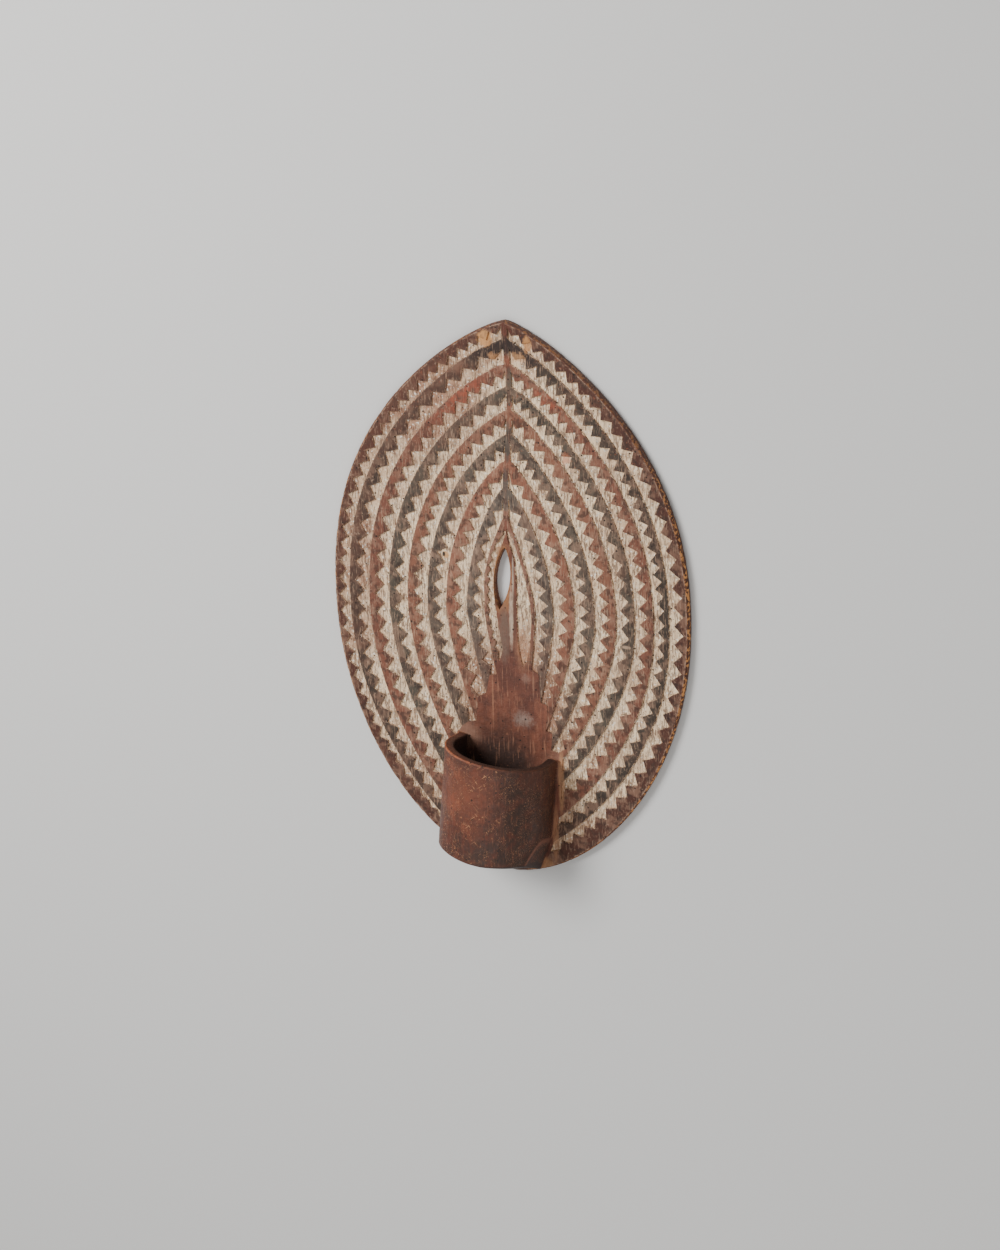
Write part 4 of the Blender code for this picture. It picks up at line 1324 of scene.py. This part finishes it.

# %% [markdown]
# The hard rim of the board and the border of the slit lost their paint to handling. The light wood
# shows in nicks, most where the shield is widest, and only on the upper part of the side: the lower
# part of the side is kept dark as painted shade.

# %% Worn rim and slit
rim_noise = cloud(0.0034, 16.0, 0.47, 0.58)
rim_mask = times(fade(spread_over(on_plain, 0.3, edge), 1.02, 1.22), off_ring)
near_slit = spot_at(-0.003, 0.328, 0.020, 0.045, 0.0, 0.2)
at_widest = spread_over(spot_at(0.0, 0.255, 0.60, 0.190, 0.0, 0.4), 0.75, 0.25)
# painted shade: gold shows only on the upper part of the side, and the dark rim colour below it stands for
# the shaded lower side
gold_nicks_above_painted_shade = times(times(rim_noise, at_widest), fade(place_z, 0.0030, 0.0055))
rim_colour = blend(tree, gold_nicks_above_painted_shade, pigment(80, 47, 33), pigment(228, 156, 88))
slit_colour = blend(tree, rim_noise, pigment(112, 70, 44), pigment(192, 132, 76))
coat = blend(tree, times(rim_mask, 0.92), coat, blend(tree, near_slit, rim_colour, slit_colour))
print("rim and slit worn")

# %% [markdown]
# The ring was never painted. Its colour is soot, grease and polish in patches. Its left side, which faces
# the lamp, is painted lighter and more orange as painted light; its lower part, its right flank and the
# bore are painted nearly black as painted shade. Short scratches in two directions cross it. A painted
# highlight follows the adze cut's edge, and another runs along the upper edge, where the arm goes in.

# %% Ring: where its marks lie
scratch_turns = (0.9, -0.7)
turned = [put(tree, "VectorRotate", {"Vector": place, "Angle": angle}).outputs[0] for angle in scratch_turns]
scratch_lines = [fibre(0.0008, 0.0120, 0.615, 0.670, way) for way in turned]
scratch_mask = times(sum_up(tree, "MAXIMUM", *scratch_lines), cloud(0.013, 17.0, 0.42, 0.54))
# painted light: the ring's left side faces the lamp, so its polish, flecks, end faces and upper edge are made
# lighter there
painted_light_on_left = fade(place_x, 0.030, -0.036)
# painted shade: the right flank and the low part of the ring, away from the lamp, are darkened
painted_shade_place = sum_up(tree, "MAXIMUM", spot_at(0.012, 0.035, 0.050, 0.040, 0.5, 0.6),
                    spot_at(0.036, 0.080, 0.016, 0.060, 0.5, 0.6))
past_facet = above_plane(tuple(facet_normal), facet_distance - float(facet_normal[1]) * plate_length / 2)
# painted highlight: a light line along the adze cut's edge, where the arris catches the light
adze_edge_highlight = times(fade(past_facet, -0.0014, -0.0007), fade(past_facet, 0.0, -0.0004))
end_face = times(fade(edge, 0.5, 0.8), on_ring)
below_top = above_plane((-ring_top_skew, -1.0, ring_top_lean),
                        ring_top_lean * plate_thickness + plate_length / 2 - ring_top)
# painted highlight: a copper-coloured line along the ring's upper front edge, strongest on the lit left
rubbed = times(times(fade(inside, 0.04, 0.005), fade(below_top, 0.0024, 0.0010)),
               spread_over(cloud(0.008, 27.0, 0.40, 0.60), 0.55, 0.45))
print("nodes so far:", len(tree.nodes))

# %% Ring: polish, painted light and shade, scratches, painted highlights
ring_coat = lay(blend(tree, painted_light_on_left, pigment(88, 46, 31), pigment(86, 41, 26)), [
    ("orange polish and painted light on the left", cloud(0.022, 18.0, 0.46, 0.60), times(painted_light_on_left, 0.55), (128, 66, 41)),
    ("dark patches", cloud(0.013, 19.0, 0.46, 0.60), 0.55, (58, 36, 28)),
    # painted shade on the right flank, mottled by a cloud
    ("soot", times(painted_shade_place, cloud(0.011, 20.0, 0.38, 0.56)), 0.60, (50, 38, 29)),
    ("dark fibres", fibre(0.0020, 0.020, 0.50, 0.66), 0.42, (52, 33, 26)),
    ("light fibres", fibre(0.0014, 0.014, 0.57, 0.67), 0.34, (156, 98, 68)),
    ("dark flecks", cloud(0.0040, 21.0, 0.56, 0.68), 0.42, (56, 36, 28)),
    ("light flecks", cloud(0.0030, 22.0, 0.65, 0.71), times(painted_light_on_left, 0.66), (204, 136, 88)),
    ("scratches", scratch_mask, 0.80, (204, 146, 104)),
    ("painted highlight on the adze cut's edge", adze_edge_highlight, 0.55, (150, 98, 78)),
    # painted light on the lit upper left of the ring
    ("painted light top left", spot_at(-0.018, 0.118, 0.030, 0.026, 0.60, 0.70), 0.34, (142, 78, 52)),
    # painted shade on the low part of the ring
    ("painted shade low down", times(spot_at(0.006, 0.020, 0.046, 0.026, 0.80, 0.60),
                            cloud(0.008, 26.0, 0.40, 0.58)), 0.60, (50, 38, 30)),
    # dust and painted sheen: the grazing left flank is made greyer
    ("dust and painted sheen on the left", fade(place_x, -0.048, -0.060), 0.30, (112, 92, 82))])
# end faces: dark wood, painted lighter on the lit left as painted light
end_colour = blend(tree, painted_light_on_left, pigment(56, 35, 28), pigment(98, 55, 41))
ring_coat = lay(blend(tree, times(end_face, 0.80), ring_coat, end_colour), [
    ("painted highlight on the upper edge", rubbed, spread_over(painted_light_on_left, 0.70, 0.15), (176, 98, 60)),
    # painted shade: the bore is darkened inside the ring
    ("painted shade in the bore", inside, 0.88, (40, 28, 23))])
coat = blend(tree, on_ring, coat, ring_coat)

# %% Pin-holes over everything
pin = use(tree, holes, {"Position": place, "Spacing": 0.0064, "Size": 0.180})
coat = lay(coat, [("pin-holes", pin, 0.90, (34, 24, 19))])
tree.links.new(coat, shader.inputs["Base Color"])

# %% Gloss and fine relief
dullest, most_gloss = 0.86, 0.33
relief_height, relief_strength = 0.0005, 0.8
grain_sinks, knife_lines, pins_sink, scratches_rise, dents = -0.9, 0.6, -1.8, 0.8, 0.9
not_cut_away = but(times(fade(past_facet, -0.0060, -0.0010), 0.8))
polished = times(sum_up(tree, "MAXIMUM", on_ring, times(on_plain, 0.7)), not_cut_away)
gloss = times(polished, spread_over(cloud(0.009, 24.0, 0.3, 0.7), -0.16, most_gloss))
tree.links.new(sum_up(tree, "SUBTRACT", dullest, gloss), shader.inputs["Roughness"])
relief = spread_over(times(fine_streaks, is_white), grain_sinks, times(slip_fine, knife_lines))
relief = spread_over(pin, pins_sink, relief)
relief = spread_over(times(scratch_mask, on_ring), scratches_rise, relief)
relief = spread_over(cloud(0.0045, 25.0, 0.3, 0.7), times(polished, dents), relief)
bump = put(tree, "Bump", {"Height": relief, "Strength": relief_strength, "Distance": relief_height})
tree.links.new(bump.outputs[0], shader.inputs["Normal"])
board.data.materials.clear()
board.data.materials.append(paint)
print("nodes in the finish:", len(tree.nodes))

# %% [markdown]
# ## Floor and light
# The shield lies on a plain pale floor, which is no part of it. A large soft lamp stands on the
# left beyond the point, low enough for the carving to cast small shadows, a weaker one fills them
# from the foot, and pale surroundings light the rest evenly.

# %% Floor
floor_size = 6
floor_colour, floor_roughness = (0.72, 0.71, 0.69, 1), 0.9
bpy.ops.mesh.primitive_plane_add(size=floor_size)
floor = bpy.context.object
floor.name = "floor"
floor_finish = bpy.data.materials.new("pale_floor")
floor_finish.use_nodes = True
floor_shader = floor_finish.node_tree.nodes["Principled BSDF"]
floor_shader.inputs["Base Color"].default_value = floor_colour
floor_shader.inputs["Roughness"].default_value = floor_roughness
floor.data.materials.append(floor_finish)
print("floor:", floor_size, "m wide")

# %% Lights
def soft_light(name, place, size, power):
    """A square area light that looks at the shield."""
    data = bpy.data.lights.new(name, "AREA")
    data.size = size
    data.energy = power
    lamp = bpy.data.objects.new(name, data)
    lamp.location = place
    lamp.rotation_mode = "QUATERNION"
    lamp.rotation_quaternion = Vector(place).to_track_quat("Z", "Y")
    bpy.context.scene.collection.objects.link(lamp)
    return lamp


soft_light("key", (-1.3, 1.2, 2.0), 1.2, 76)
soft_light("fill", (0.5, -1.0, 2.2), 1.8, 16)
world = bpy.data.worlds.new("studio")
world.use_nodes = True
surroundings = world.node_tree.nodes["Background"].inputs
surroundings["Color"].default_value = (1, 1, 1, 1)
surroundings["Strength"].default_value = 0.35
bpy.context.scene.world = world
print("lights:", [lamp.name for lamp in bpy.data.lights])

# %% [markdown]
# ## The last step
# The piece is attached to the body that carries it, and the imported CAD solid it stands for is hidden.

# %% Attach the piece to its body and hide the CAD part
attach(board, "root")
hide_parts("dance_shield")
